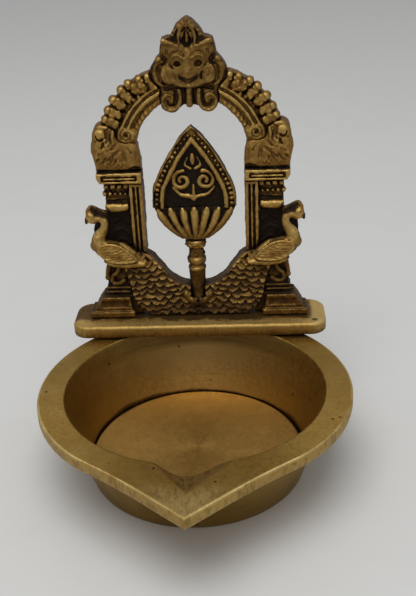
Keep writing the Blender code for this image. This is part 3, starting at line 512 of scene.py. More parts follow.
def make_beast():
    """A sitting beast: full flank, mane strokes, a raised head and a bright snout."""
    cast = Cast("right_beast_block", front=PLATE_FRONT + 0.35)
    cast.add(prism(beast_outline(), cast.front, cast.high.y, 0.8))
    cast.dome(2.3, 3.4, 0.5, (2.1, 0.9, 3.0), 0.3)
    cast.dome(6.6, 3.9, 0.5, (2.9, 1.0, 2.6), 0.4)
    cast.dome(9.2, 5.0, 0.4, (1.5, 1.1, 3.6), 0.3, 0.12)
    cast.dome(8.7, 8.4, 0.3, (1.6, 1.3, 1.7), 0.3)
    cast.bead([(7.0, 10.1), (8.2, 10.25), (9.1, 10.0)], (0.45, 0.55, 0.45), 0.05, 0.2, steps=1)
    cast.bead([(5.8, 9.2), (6.0, 8.0), (5.9, 6.4)], (0.4, 0.5), 0.1, steps=1)
    for u in (4.4, 5.5, 6.6, 7.8):
        cast.bead([(u + 1.0, 2.9), (u, 1.2)], (0.42, 0.36), 0.05, 0.12, steps=1)
    manes = (
        [(6.5, 9.0), (7.1, 8.1), (6.7, 7.1), (7.2, 6.1), (6.8, 5.2)],
        [(7.4, 7.6), (7.8, 6.8), (7.4, 5.9), (7.9, 5.0), (7.6, 4.1)],
        [(8.3, 6.9), (8.7, 6.1), (8.3, 5.2), (8.8, 4.3), (8.5, 3.4)],
        [(9.3, 6.6), (9.6, 5.7), (9.2, 4.8), (9.7, 3.9), (9.4, 2.9)],
    )
    for mane in manes:
        cast.bead(mane, (0.3, 0.36, 0.24), -0.4)
    # Chased lines, each with its width
    lines = (
        (0.3, [(4.7, 10.5), (5.0, 8.7), (4.9, 7.1), (4.3, 5.7), (3.8, 4.1), (3.5, 2.5)]),
        (0.28, [(6.7, 9.6), (6.8, 8.2), (6.5, 7.2)]),
        (0.2, [(7.4, 9.2), (7.3, 7.9)]),
        (0.22, [(9.4, 3.0), (10.0, 2.0)]),
        (0.22, [(7.6, 3.2), (8.8, 1.6)]),
        (0.2, [(6.3, 3.0), (7.1, 1.4)]),
        (0.2, [(5.4, 2.8), (6.0, 1.4)]),
        (0.18, [(4.4, 2.6), (4.9, 1.4)]),
        (0.24, [(0.9, 4.4), (0.75, 2.2)]),
        (0.18, [(9.4, 8.5), (9.3, 7.7), (8.6, 7.4), (8.0, 7.8)]),
        (0.2, [(5.6, 5.9), (6.4, 5.2), (7.2, 4.9)]),
        (0.17, [(5.3, 4.5), (6.4, 4.2)]),
        (0.2, [(9.7, 7.2), (10.2, 6.6)]),
        (0.2, [(8.0, 6.6), (8.4, 5.6)]),
        (0.19, [(3.7, 4.9), (5.0, 4.4), (6.6, 3.4)]),
        (0.22, [(4.4, 6.7), (5.3, 6.0), (6.2, 5.3)]),
        (0.18, [(1.9, 4.3), (2.9, 5.4), (4.0, 6.3)]),
        (0.18, [(6.9, 3.0), (8.4, 2.2)]),
        (0.17, [(4.0, 1.3), (4.5, 0.7)]),
        (0.17, [(5.3, 1.1), (5.8, 0.5)]),
        (0.17, [(6.6, 1.3), (7.1, 0.7)]),
        (0.17, [(8.3, 1.4), (8.9, 0.8)]),
    )
    for width, line in lines:
        cast.chase(line, width, -0.5, 0.25, 0.4)
    for u, w in ((7.9, 6.7), (9.2, 4.1), (10.1, 4.4), (8.5, 5.6), (9.9, 5.0), (6.5, 0.6), (3.6, 0.7)):
        cast.pit(u, w, -0.75, (0.26, 0.42, 0.26))
    cast.pit(1.2, 0.3, -0.1, (1.5, 1.4, 0.75), 0.2)
    cast.patina = 0.5
    return cast


ARCH_RISE = 3.7  # the centre of the arch's inner circle over the beasts' feet
ARCH_INNER = 12.8
ROLL_TIPS = ((9.2, 21.5), (11.4, 21.0), (13.5, 20.2), (15.5, 18.6), (17.3, 16.6), (18.6, 14.3), (19.5, 11.9))


def add_roll(cast, k, tip):
    """One leaf roll of the arch: a rounded body with small curls on it, lower and lower to the band."""
    tip = np.array(tip)
    way = tip - (0.0, ARCH_RISE)
    way /= np.linalg.norm(way)
    side = np.array((-way[1], way[0]))
    turn = math.atan2(way[1], way[0])

    def at(inward, across):
        return tip - way * inward + side * across

    lean = 0.16 * math.sin(2.4 * k)
    size = 1.0 + 0.05 * math.cos(1.7 * k) + 0.03 * k
    body = [at(0.7, lean), at(1.8, -lean), at(3.0, 0.1)]
    cast.bead(body, (0.95 * size, 1.02 * size, 0.92 * size), 1.35, 0.15, 1.1, steps=1)
    cast.dome(*at(0.66, lean), 0.8, (0.8, 0.85, 0.82 * size), 0.1, turn)
    rows = ((1.5, 0.8), (2.35, 0.92), (3.2, 1.05), (4.0, 1.25))
    for row, (inward, depth) in enumerate(rows if k < 4 else rows[:3]):
        shift = 0.18 * math.sin(2.1 * k + 1.7 * row)
        for hand in (-1, 1):
            skew = 0.2 * hand * (-1) ** (row + k)
            spot = at(inward + skew, 0.5 * hand * size + shift)
            cast.dome(*spot, depth, (0.47, 0.62, 0.5), 0.06, turn)
    fold = [at(0.95, -1.05), at(1.2, -0.4), at(1.05, 0.35), at(1.3, 1.0)]
    cast.groove(fold, (0.14, 0.2, 0.14), 0.2, 0.12)
    if k > 2:
        cast.pit(*at(3.6, 1.2), 1.3, (0.7, 1.1, 0.42), 0.12, turn)
    gap = [at(2.6, -1.12 * size), at(-0.4, -1.12 * size)]
    cast.groove(gap, (0.13, 0.18), 0.7, 0.15, 0.5, steps=1)


def make_arch():
    """Half of the arch: a fluted band inside, leaf rolls outside and dark pits between them."""
    cast = Cast("right_half_arch", x=0.0, front=PLATE_FRONT, z=span("right_beast_block")[0].z, steps=3)
    back = cast.back

    def ring(radius, degrees, centre=ARCH_RISE):
        return [(radius * math.cos(t), centre + radius * math.sin(t)) for t in np.radians(degrees)]

    sweep = np.linspace(0.0, 86.0, 25)
    cast.panel(ring(22.05, sweep, 1.8) + ring(ARCH_INNER, sweep[::-1]), (1.5, back), 0.4, 0.25)
    band = np.linspace(4.0, 88.0, 21)
    cast.panel(ring(16.9, band) + ring(ARCH_INNER, band[::-1]), (0.9, back - 1.0), 0.3)
    for radius, size in ((15.2, 0.52), (16.45, 0.4)):
        cast.bead(ring(radius, band), size, 0.75, 0.1, steps=1)
    for radius, size in ((14.4, 0.33), (15.85, 0.26)):
        cast.groove(ring(radius, band), size, 0.85, steps=1)
    for degrees in np.arange(10.0, 76.0, 5.6):
        spot = ring(ARCH_INNER + 0.6, [degrees])[0]
        cast.dome(*spot, 1.05, (0.62, 0.5, 0.45), 0.15, math.radians(degrees))
    for k, tip in enumerate(ROLL_TIPS):
        add_roll(cast, k, tip)
    eye = (14.4, 8.2)
    cast.dome(*eye, 1.1, (2.3, 0.95, 1.9), 0.5)
    cast.groove(spiral(eye, 60, 1.3, 1.5, 0.3, 22, -1), (0.2, 0.24), 0.3, 0.15, 0.6, steps=1)
    cast.pit(*eye, 0.3, (0.4, 0.8, 0.4))
    cast.seat(beast_outline())
    cast.seat(mask_outline(), 0.05)
    cast.notch((0, 40), (-60, 5.0), (-5, back + 3))
    cast.patina = 0.5
    return cast


MASK_CENTRE = span("mask")[1].z - 11.2


def mask_outline():
    """The mask of a horned lion face: a leafy crest, broad ears and two hanging scrolls."""
    crest = [(1.2, 10.6), (2.3, 9.6), (3.1, 8.2), (3.6, 7.3), (4.6, 7.1), (5.5, 6.7), (5.9, 5.2), (6.1, 3.6)]
    ears = [(7.2, 2.4), (8.2, 0.9), (8.5, -0.4), (8.1, -1.8), (7.0, -3.0), (6.3, -4.0), (6.5, -5.8)]
    scrolls = [(6.2, -7.6), (5.4, -8.7), (4.2, -9.1), (3.0, -8.8), (2.2, -8.0), (1.3, -7.4)]
    right = crest + ears + scrolls
    return moved([(0.0, 11.2)] + right + [(0.0, -7.3)] + mirror(right[::-1]), 0.0, MASK_CENTRE)


def add_face(cast):
    """Forehead, nose, horns, ears and brows."""
    cast.dome(0, 0.8, 1.0, (5.0, 1.55, 4.2), 0.35)
    cast.dome(2.6, 4.3, 0.9, (3.1, 1.1, 2.1), 0.35, 0.15)
    cast.dome(0, -1.7, 0.7, (4.0, 1.1, 1.6), 0.35)
    cast.dome(0, 0.35, 0.0, (1.35, 0.6, 1.2), 0.35)
    cast.bead([(0, 3.0), (0, 0.8)], (0.45, 0.7), 0.1, 0.5)
    cast.bead([(1.9, 5.35), (3.3, 5.9), (5.0, 6.5)], (0.42, 0.5, 0.55), 0.1)
    cast.dome(4.9, 6.35, 0.45, (0.7, 0.7, 0.55), 0.2)
    cast.dome(6.3, 2.6, 0.7, (0.8, 0.8, 0.6), 0.2, -0.5)
    cast.dome(6.4, -0.4, 1.3, (1.6, 0.85, 2.5), 0.3)
    cast.bead([(0.9, 2.9), (1.6, 3.5), (2.5, 3.7), (3.6, 3.2)], (0.25, 0.32, 0.24), -0.35)
    cast.chase([(0.7, 3.3), (1.2, 4.0), (2.2, 4.35), (3.3, 4.0), (3.9, 3.3)], (0.16, 0.22, 0.16), -0.45)
    cast.chase([(4.4, 4.6), (4.5, 3.4), (5.2, 2.7)], 0.2, -0.1)


def add_cheeks(cast):
    """Leaf cheeks that rise from the chin band, with a ring round each."""
    leaf = [(3.0, -2.2), (3.1, -0.7), (3.8, 0.9), (4.9, 1.7)]
    leaf += [(5.7, 1.0), (6.0, -0.5), (5.6, -1.9), (4.3, -2.6)]
    edge = curve_through(leaf, 3, closed=True)
    for side in (edge, mirror(edge)):
        cast.panel(side, (-0.15, 1.6), 0.5, 0.2)
    cast.groove([(4.9, 0.9), (4.3, -0.9)], (0.14, 0.22), -0.2, 0.2, steps=1)
    cast.chase([(2.75, -1.4), (2.85, -0.2), (3.5, 1.2), (4.8, 2.15)], (0.16, 0.22, 0.18), -0.1, 0.15)
    cast.chase([(4.8, 2.15), (6.1, 1.3), (6.45, -0.4), (6.1, -1.9)], (0.18, 0.22, 0.2), 0.25, 0.12)
    cast.bead([(5.6, 2.2), (6.9, 1.4), (7.35, -0.3), (6.9, -1.9), (5.7, -2.9)], (0.4, 0.48, 0.4), 0.75)
    cast.chase([(7.75, 0.9), (7.95, -0.4), (7.5, -1.7)], 0.16, 0.75)


def add_mouth_and_eyes(cast):
    """The chin band, the smile with its dark line, the drilled eyes and the nostrils."""
    cast.bead([(0, -3.0), (1.9, -2.75), (3.6, -1.9)], (0.55, 0.5, 0.45), 0.25)
    smile = [(0, -1.85), (1.0, -1.65), (1.75, -1.15)]
    cast.chase(smile + [(2.15, -0.6)], (0.48, 0.45, 0.34, 0.15), -0.55)
    cast.stain_and_shade(stroke(cast.path(mirror(smile[:0:-1]) + smile), 0.45, cast.front - 0.05), 0.85)
    cast.pit(2.3, 1.8, -0.6, (0.85, 1.5, 0.7), 0.12)
    cast.pit(0.75, -0.35, -0.75, (0.3, 0.35, 0.18), 0.1, -0.6)


def add_hanging_scrolls(cast):
    """The tongue and the two scrolls that hang beside it."""
    cast.dome(4.2, -6.3, 1.5, (2.0, 0.9, 2.4), 0.35)
    cast.bead([(0, -3.4), (0, -7.0)], (0.75, 0.7), 0.85)
    hanging = [(2.15, -4.0), (2.0, -6.0), (2.8, -7.9), (4.3, -8.4), (5.6, -7.5), (5.8, -5.9), (4.8, -4.9)]
    cast.bead(hanging, (0.5, 0.45, 0.38), 0.6)
    cast.bead([(4.8, -4.9), (3.7, -5.3), (3.9, -6.4)], (0.38, 0.36), 0.65)
    hollow = [(2.95, -3.9), (2.8, -5.7), (3.4, -7.1), (4.4, -7.3), (4.85, -6.4)]
    cast.chase(hollow, (0.36, 0.42, 0.28), 0.6, 0.12)
    cast.chase([(1.3, -3.5), (1.3, -6.9)], (0.45, 0.42), 0.9, 0.12)
    cast.chase([(1.6, -3.5), (3.4, -3.35), (5.2, -3.9)], (0.35, 0.5, 0.4), 0.9, 0.12)


def add_leaf_crest(cast):
    """A leaf with beads on its edge, and in it a flame-shaped hollow with a bud."""
    cast.dome(0, 8.6, 0.9, (2.3, 1.0, 2.3), 0.3)
    cast.bead([(0, 10.8), (0, 9.3)], (0.4, 0.5), 0.25)
    cast.bead([(0.5, 9.9), (1.3, 8.9), (1.75, 7.4), (1.65, 5.9)], (0.32, 0.36, 0.3), 0.15)
    cast.bead([(1.4, 9.6), (2.2, 8.6), (2.6, 7.5)], (0.34, 0.32), 0.5)
    for u, w in ((0.75, 10.2), (1.7, 9.4), (2.5, 8.5), (3.0, 7.7)):
        cast.dome(u, w, 0.6, (0.42, 0.5, 0.4), 0.12)
    cast.pit(0, 6.5, 0.35, (1.05, 1.3, 1.3))
    cast.pit(0, 7.6, 0.2, (0.6, 1.0, 1.1))
    cast.bead([(0, 8.3), (0, 6.4)], (0.28, 0.36), 0.55, 0.08)
    cast.chase([(2.15, 6.2), (2.3, 7.6), (1.9, 8.8)], 0.22, 0.3)
    cast.chase([(0.3, 9.2), (0.95, 8.4)], 0.16, 0.1)


def make_mask():
    """The crowning mask: a horned lion face with leaf cheeks, hanging scrolls and a crest."""
    cast = Cast("mask", x=0.0, front=PLATE_FRONT, z=MASK_CENTRE, twin=True)
    cast.add(prism(mask_outline(), cast.front + 1.3, cast.high.y, 0.3))
    add_face(cast)
    add_cheeks(cast)
    add_mouth_and_eyes(cast)
    add_hanging_scrolls(cast)
    add_leaf_crest(cast)
    cast.darken((-9, 9), (-10, 12), (-5, cast.back), 0.26)
    cast.patina = 0.75
    return cast


FEATHER_PITCH = 1.5
FEATHER_WIDTH = 2.35


def feather_depth(x, z):
    """How deep the tail's front lies: rows of feathers, each row lapping over the one below it."""
    up = z - BIRD_FOOT + 0.09 * x + 0.3 * np.sin(0.8 * x + 0.5 * z) + 0.2 * np.sin(1.9 * x - 1.1 * z)
    row = np.floor(up / FEATHER_PITCH)
    depth = 0.0
    for r in (row, row + 1):
        across = x / FEATHER_WIDTH + 0.5 * (r % 2) + 0.14 * np.sin(2.3 * r) + 0.13 * np.sin(0.7 * x + 1.9 * r)
        off = across - np.round(across)
        hang = 0.74 * np.maximum(np.cos(np.pi * off), 0.0) ** 0.7
        rise = (up - r * FEATHER_PITCH + hang) / (FEATHER_PITCH + 0.3)
        height = 1.15 * (1 - rise) - 1.5 * off**2 + 0.1 * np.exp(-((rise / 0.15) ** 2))
        depth = np.where((rise >= 0) | (r == row), 1.25 - height, depth)
    return depth


def barb_depth(x, z):
    """How deep the wing's front lies: uneven lines of slanted barbs."""
    along = 0.94 * x + 0.34 * (z - BIRD_FOOT)
    across = 0.94 * (z - BIRD_FOOT) - 0.34 * x
    sway = 0.5 * np.sin(1.1 * along) + 0.4 * np.sin(2.3 * across + 0.7 * along)
    barbs = np.sin(2 * math.pi * (0.55 * along + 1.05 * across + 0.35 * sway) / 0.82)
    breaks = np.sin(2 * math.pi * (0.8 * along - 0.5 * across + 0.5 * sway) / 1.7)
    return 0.16 + 0.11 * barbs * (0.6 + 0.4 * breaks)


def add_tail(cast):
    """The tail, darkest at its foot, with feathers that lap over the spear's foot."""
    tail = prism(tail_outline(), cast.front, cast.high.y, 0.5)
    cast.add(displaced(tail, cast.front, feather_depth))
    cast.darken((0, 18), (-1, 12), (-1.0, cast.back), 0.3)
    cast.darken((0, 18), (-1, 12), (0.55, cast.back), 0.62)
    cast.darken((0, 18), (-1, 3), (-1.0, cast.back), 0.5)
    cast.stain_and_shade(ball(cast.at(0, 1.0, 1.0), (1.9, 4.0, 3.4)), 0.66)
    for u, w, high in ((0.8, 3.1, 0.64), (1.75, 4.0, 0.64), (2.7, 5.1, 0.6)):
        cast.dome(u, w, 0.25, (1.0, 0.42, high), 0.15, 0.7)


def add_body(cast):
    """Rump, breast, belly and the folded wing with its barbs."""
    flank = [(11.9, 13.9), (14.2, 14.9), (17.6, 16.2), (20.6, 17.4)]
    cast.bead(flank, (0.6, 1.5, 2.3, 2.4), 0.45, 0.4, 1.3)
    cast.dome(18.6, 16.8, 0.1, (5.0, 1.9, 2.7), 0.4, 0.26)
    cast.dome(22.1, 18.6, 0.0, (1.8, 1.8, 2.3), 0.4, -0.35)
    wing = [(13.9, 15.5), (15.2, 17.2), (16.6, 18.4), (18.2, 19.3), (20.0, 19.6), (21.6, 19.3), (22.6, 18.4)]
    wing += [(22.2, 17.1), (20.8, 15.7), (18.6, 14.9), (16.2, 14.9)]
    edge = curve_through(wing, 3, closed=True)
    face = cast.slab(edge, (-2.2, 0.0), 0.5)
    cast.add(displaced(face, cast.front - 2.2, barb_depth), 0.15)
    cast.bead(edge + edge[:1], 0.26, -1.95, steps=1)
    under = [(13.6, 15.0), (16.0, 14.4), (18.6, 14.35), (21.0, 15.2), (22.7, 16.8)]
    cast.groove(under, (0.15, 0.24, 0.2), -1.45, 0.12)
    belly = [(12.4, 13.9), (14.4, 13.9), (16.6, 13.8), (19.2, 14.0), (21.4, 14.9)]
    cast.bead(belly, (0.5, 0.8, 0.8, 0.65, 0.5), -0.45, 0.25)


def add_head(cast):
    """The neck, up from the breast, back, and over in a hook to the crested head."""
    neck = [(22.9, 19.0), (22.5, 20.7), (21.5, 22.2), (20.8, 23.6), (20.9, 24.9), (21.9, 25.6), (23.3, 25.7)]
    cast.bead(neck, (1.75, 1.45, 1.1, 0.92, 0.88, 0.85, 0.9), 0.0, 0.25)
    crest = [(20.2, 25.6), (20.3, 26.9), (21.6, 27.6), (22.6, 28.2), (23.5, 28.6), (24.5, 28.2), (24.8, 27.2)]
    fan = curve_through(crest + [(24.0, 26.5), (22.2, 26.1)], 3, closed=True)
    cast.panel(fan, (-0.35, 1.0), 0.35)
    cast.stain_and_shade(cast.slab([(min(u, 23.8), w) for u, w in fan], (-0.9, 3.0)), 0.8)
    cast.dome(23.9, 26.2, -0.2, (1.2, 1.15, 1.15), 0.2)
    cast.dome(23.5, 25.2, -0.1, (1.35, 1.1, 0.85), 0.35, -0.15)
    cast.bead([(23.9, 28.3), (24.5, 27.7), (24.5, 26.9), (24.2, 26.3)], (0.3, 0.42, 0.45), -0.4, 0.2)
    cast.bead([(24.2, 26.0), (24.8, 25.2), (25.05, 24.5)], (0.85, 0.62, 0.38), 0.0, 0.2, steps=1)
    # Painted shadow darkening the beak
    cast.stain_and_shade(ball(cast.at(25.3, 24.9, 0.0), (0.55, 1.6, 0.75)), 0.75)
    for plume in ([(21.3, 27.2), (22.3, 26.7)], [(22.3, 27.8), (22.9, 27.0)], [(23.2, 28.2), (23.4, 27.3)]):
        cast.groove(plume, (0.2, 0.12), -0.4, 0.08, steps=1)
    cast.pit(24.3, 26.2, -1.25, (0.24, 0.4, 0.24), 0.08)
    cast.groove([(24.7, 25.2), (25.1, 24.9)], 0.14, -0.6, 0.08)


def make_peacock():
    """The bird with its crest, S neck, barbed wing and a tail of overlapping feathers."""
    cast = Cast("right_peacock", x=0.0, front=PLATE_FRONT - 1.0, steps=3)
    add_tail(cast)
    add_body(cast)
    add_head(cast)
    return cast


def make_stem():
    """The turned stem: collar, dark neck, two rings and a plain shaft."""
    cast = Cast("spear_stem", x=0.0, front=STEM_AXIS)
    profile = [(1.6, 0.0), (1.66, 2.0), (1.78, 4.5), (1.85, 6.9), (2.05, 7.1), (2.1, 7.6), (1.72, 7.85)]
    profile += [(1.68, 8.5), (2.05, 8.8), (2.15, 9.4), (2.05, 10.0), (1.75, 10.3), (1.72, 12.6), (2.25, 12.9)]
    profile += [(2.4, 13.6), (2.45, 14.3), (2.35, 14.6)]
    cast.add(turned(moved(profile, 0.0, cast.z), cast.front, 0.06))
    cast.darken((-3, 3), (-1, 7.0), (-5, 5), 0.36)
    cast.darken((-3, 3), (10.3, 12.8), (-5, 5), 0.3)
    # Leaves round the collar, by turns higher and lower, and studs with a drilled eye round the neck
    for k, angle in enumerate(np.radians((-64.0, -32.0, 0.0, 32.0, 64.0))):
        sign = (-1) ** k
        u, y = 2.3 * math.sin(angle), -2.3 * math.cos(angle)
        cast.dome(u, 13.6 + 0.25 * sign, y, (0.7, 0.35, 0.34), 0.08, 0.6 * sign)
    for angle in np.radians((-60.0, 0.0, 60.0)):
        u, y = 1.75 * math.sin(angle), -1.75 * math.cos(angle)
        cast.dome(u, 11.5, y, (0.55, 0.35, 0.8), 0.1)
        cast.pit(1.15 * u, 11.5, 1.15 * y, (0.26, 0.3, 0.42), 0.1)
    return cast


PETAL_SIZES = np.array((0.42, 0.5, 0.6, 0.73, 0.87, 1.0, 1.08, 1.0, 0.62))
PETAL_DEPTHS = np.array((0.8, 0.86, 0.9, 0.92, 0.92, 0.87, 0.8, 0.7, 0.6))


def make_cup():
    """The lotus cup: long petals with bright tips, dark between them."""
    cast = Cast("petal_cup", x=0.0, front=STEM_AXIS - 0.4)
    back = cast.back
    half = (cast.high.x - cast.low.x) / 2
    right = curve_through([(2.7, 0.0), (6.7, 2.95), (half - 0.05, 7.5)], 5)
    cast.panel(right + mirror(right[::-1]), (0, back), 0.3, 0.25)
    cast.dome(0.0, 0.8, 0.0, (2.6, 1.2, 3.2), 0.1)
    for share in np.linspace(-1, 1, 7):
        out = abs(share)
        root = np.array((share * 2.0, -0.3))
        tip = np.array((share * (half - 1.1), 7.35 - 0.3 * out))
        bend = np.array((share * 0.55, -0.35 * out))
        proud = 0.95 + math.sqrt(1.0 - 0.9 * out**2)
        ways = np.linspace(0.0, 1.0, len(PETAL_SIZES))
        petal = [root + (tip - root) * t + bend * math.sin(math.pi * t) for t in ways]
        sizes = PETAL_SIZES * (1.0 - 0.08 * out)
        cast.bead(petal, sizes, sizes - proud * PETAL_DEPTHS, 0.04, steps=1)
    # Trimmed to the CAD model's box, and behind its top to leave room for the blade
    cast.notch((-20, 20), (-20, 0), (-20, back + 5))
    cast.notch((-20, 20), (-5, 20), (-20, cast.low.y - cast.front))
    cast.notch((-20, 20), (-5, 7.5), (back, back + 20))
    cast.notch((-20, 20), (7.4, 20), (0.4, back + 20))
    cast.darken((-20, 20), (0.5, 9.0), (-0.3, back), 0.95)
    return cast


def add_border_beads(cast, right):
    """Beads along the blade's sides, evenly spaced by length and smaller towards the tip."""
    upright = 1.57  # a quarter turn
    right = np.array(right)
    lengths = np.concatenate([[0.0], np.cumsum(np.linalg.norm(np.diff(right, axis=0), axis=1))])
    for at in np.arange(0.75, lengths[-1] - 1.6, 1.27):
        k = np.searchsorted(lengths, at)
        way = (right[k] - right[k - 1]) / (lengths[k] - lengths[k - 1])
        u, w = right[k - 1] + way * (at - lengths[k - 1]) + np.array((-way[1], way[0])) * 1.05
        size = 0.46 - 0.12 * at / lengths[-1]
        for side in (-1, 1):
            tilt = side * (math.atan2(way[1], way[0]) - upright)
            cast.dome(side * u, w, 0.75, (size * 1.25, 0.6, size), 0.08, tilt)


def add_panel_scroll(cast):
    """Two volutes on a stalk, with leaves and a bud between them."""
    for side in (-1, 1):
        volute = spiral((side * 2.6, 6.2), 90 + side * 10, 1.35, 2.3, 0.5, 26, -side)
        cast.bead(volute, (0.5, 0.5, 0.42), 1.0, 0.08, steps=1)
        root = [(0.0, 1.6), (side * 0.9, 2.4), (side * 3.0, 2.9), (side * 4.7, 4.6)]
        cast.bead(root, (0.5, 0.42, 0.3), 1.0, 0.08)
        leaf = [(side * 0.5, 9.0), (side * 1.8, 10.0), (side * 1.1, 11.6)]
        cast.bead(leaf, (0.42, 0.36, 0.25), 1.0, 0.08)
    cast.dome(0.0, 11.2, 1.0, (0.6, 0.5, 1.5), 0.08)
    cast.bead([(0.0, 2.0), (0.0, 5.0)], (0.45, 0.3), 1.0, 0.08, steps=1)


def make_blade():
    """The spear's blade: a beaded border, a smooth rib and a sunk panel with a plain scroll."""
    cast = Cast("spear_blade", x=0.0, steps=5)
    front, back = cast.front, cast.back
    half, rise = cast.high.x, cast.tall
    sides = [(1.0, 0.0), (0.99, 0.14), (0.93, 0.28), (0.8, 0.43)]
    sides += [(0.62, 0.6), (0.42, 0.76), (0.2, 0.905), (0.0, 1.0)]
    right = curve_through([(half * u, rise * w) for u, w in sides], 3)
    outline = right + mirror(right[-2::-1])
    through = (-9.0, back + 9.0)
    # The border follows the sides and the tip alone, so its outline runs on below the foot
    wide = [(half, -8.0)] + outline + [(-half, -8.0)]
    wide_low, wide_high, edge = cast.slab(wide, through)
    cast.panel(wide, (0.3, back), 0.25, 0.25)

    def sink(inner, outer, depth):
        """Lowers the front between two distances from the edge."""

        def distance(x, y, z):
            far = edge(x, y, z)
            return np.maximum(np.maximum(far + inner, -far - outer), y - front - depth)

        cast.cut((wide_low, wide_high, distance), 0.1)

    def rib(x, y, z):
        return np.sqrt((edge(x, y, z) + 2.3) ** 2 + (y - front - 0.5) ** 2) - 0.52

    sink(0.4, 1.85, 0.95)
    sink(2.75, 50.0, 1.35)
    cast.add((wide_low, wide_high, rib), 0.12)
    add_border_beads(cast, right)
    add_panel_scroll(cast)
    cast.darken((-half, half), (-1.0, rise), (1.0, back), 1.0)
    foot = [(half - 0.5, -0.42), (0.5 - half, -0.42)]
    cast.keep_within(cast.slab(foot[:1] + outline + foot[1:], through))
    return cast


# Materials


class Value:
    """A number or colour that a material works out at each point. Formulas of values become nodes."""

    def __init__(self, nodes, socket):
        self.nodes = nodes
        self.socket = socket

    def __add__(self, other):
        return self.nodes.math("ADD", self, other)

    def __sub__(self, other):
        return self.nodes.math("SUBTRACT", self, other)

    def __rsub__(self, other):
        return self.nodes.math("SUBTRACT", other, self)

    def __mul__(self, other):
        return self.nodes.math("MULTIPLY", self, other)

    __radd__ = __add__
    __rmul__ = __mul__


class Nodes:
    """A material's node tree, with short calls to add nodes and join them."""

    def __init__(self, name):
        self.material = bpy.data.materials.new(name)
        self.material.use_nodes = True
        self.tree = self.material.node_tree
        self.shader = self.tree.nodes["Principled BSDF"]

    def feed(self, node, inputs):
        """Joins values to a node's inputs, and writes plain numbers and colours into them."""
        for key, value in inputs.items():
            if isinstance(value, Value):
                self.tree.links.new(value.socket, node.inputs[key])
            else:
                node.inputs[key].default_value = value

    def make(self, kind, inputs, output, **settings):
        """One output of a new node."""
        node = self.tree.nodes.new("ShaderNode" + kind)
        for key, value in settings.items():
            setattr(node, key, value)
        self.feed(node, inputs)
        return Value(self, node.outputs[output])

    def math(self, operation, a, b):
        return self.make("Math", {0: a, 1: b}, "Value", operation=operation)

    def ramp(self, value, low, high):
        """0 to 1 as value goes from low to high."""
        inputs = {"Value": value, "From Min": low, "From Max": high}
        return self.make("MapRange", inputs, "Result", interpolation_type="SMOOTHSTEP")

    def blend(self, share, a, b):
        return self.make("Mix", {"Factor": share, "A": a, "B": b}, "Result", data_type="FLOAT")

    def mix(self, share, a, b):
        """From colour a to colour b."""
        a, b = ((*c, 1.0) if isinstance(c, tuple) else c for c in (a, b))
        return self.make("Mix", {"Factor": share, "A": a, "B": b}, "Result", data_type="RGBA")

    def place(self):
        """The object's own coordinates."""
        return self.make("TexCoord", {}, "Object")

    def noise(self, scale, detail=3.0, roughness=0.55):
        """Noise of one fineness, or of one for each axis."""
        scale = scale if isinstance(scale, tuple) else (scale,) * 3
        stretched = self.make("Mapping", {"Vector": self.place(), "Scale": scale}, "Vector")
        inputs = {"Vector": stretched, "Scale": 1.0, "Detail": detail, "Roughness": roughness}
        return self.make("TexNoise", inputs, "Fac")

    def attribute(self, name):
        return self.make("Attribute", {}, "Fac", attribute_name=name)

    def bump(self, height, strength, distance):
        inputs = {"Height": height, "Strength": strength, "Distance": distance}
        return self.make("Bump", inputs, "Normal")

    def finish(self, inputs):
        self.feed(self.shader, inputs)
        return self.material


BRASS = (0.270, 0.152, 0.040)
BRASS_RUBBED = (0.46, 0.295, 0.088)
BRASS_BROWN = (0.105, 0.053, 0.016)
PATINA_AND_SHADOW = (0.019, 0.011, 0.006)


def antique_brass():
    """Cast brass: near black in the hollows, brown on the slopes, rubbed bright on the ridges."""
    n = Nodes("antique_brass")
    cloud = n.noise(420.0, 4.0)
    wear = n.noise(1150.0, 4.0, 0.65)
    grain = n.noise(3400.0, 3.0, 0.6)
    # The hollow value brings the patina, and also the painted shadow on the peacock's beak
    uneven = n.attribute("hollow") + 0.9 * (0.45 * cloud + 0.55 * wear - 0.5)
    slope = n.ramp(uneven, 0.0, 0.56)
    dark = n.ramp(uneven, 0.38, 0.92)
    bright = n.ramp(n.attribute("ridge"), 0.1, 0.9) * (1.0 - slope)
    worn = n.mix(bright, BRASS, BRASS_RUBBED)
    rough = n.blend(dark, n.blend(bright, 0.52, 0.38), 0.66)
    return n.finish({
        "Base Color": n.mix(dark, n.mix(slope, worn, BRASS_BROWN), PATINA_AND_SHADOW),
        "Roughness": rough + 0.25 * (grain - 0.5),
        "Metallic": n.blend(dark, 1.0, 0.5),
        "Specular IOR Level": 0.25,
        "Normal": n.bump(1.6 * wear + 0.6 * grain, 0.6, 0.00026),
    })


# Tints of the turned and filed pieces: duller, brighter, and along the fine marks
OLIVE = ((0.298, 0.174, 0.034), (0.372, 0.229, 0.052), (0.44, 0.298, 0.094))
WARM = ((0.395, 0.235, 0.064), (0.465, 0.285, 0.082), (0.51, 0.325, 0.105))
FILED = ((0.37, 0.222, 0.052), (0.45, 0.285, 0.075), (0.48, 0.330, 0.115))
SPECKLE = (0.19, 0.108, 0.028)
# Painted reflection on the bowl's wall inside, and painted shade on that wall and on the floor disc
PAINTED_WALL_REFLECTION = (0.88, 0.64, 0.27)
WALL_SHADE = (0.12, 0.060, 0.016)
FILE_RIDGE = (0.52, 0.380, 0.160)
FILE_CUT = (0.12, 0.070, 0.022)
RUBBED = (0.74, 0.565, 0.245)
SMOKE_AND_SHADE = (0.11, 0.055, 0.018)
SOOT = (0.026, 0.014, 0.007)


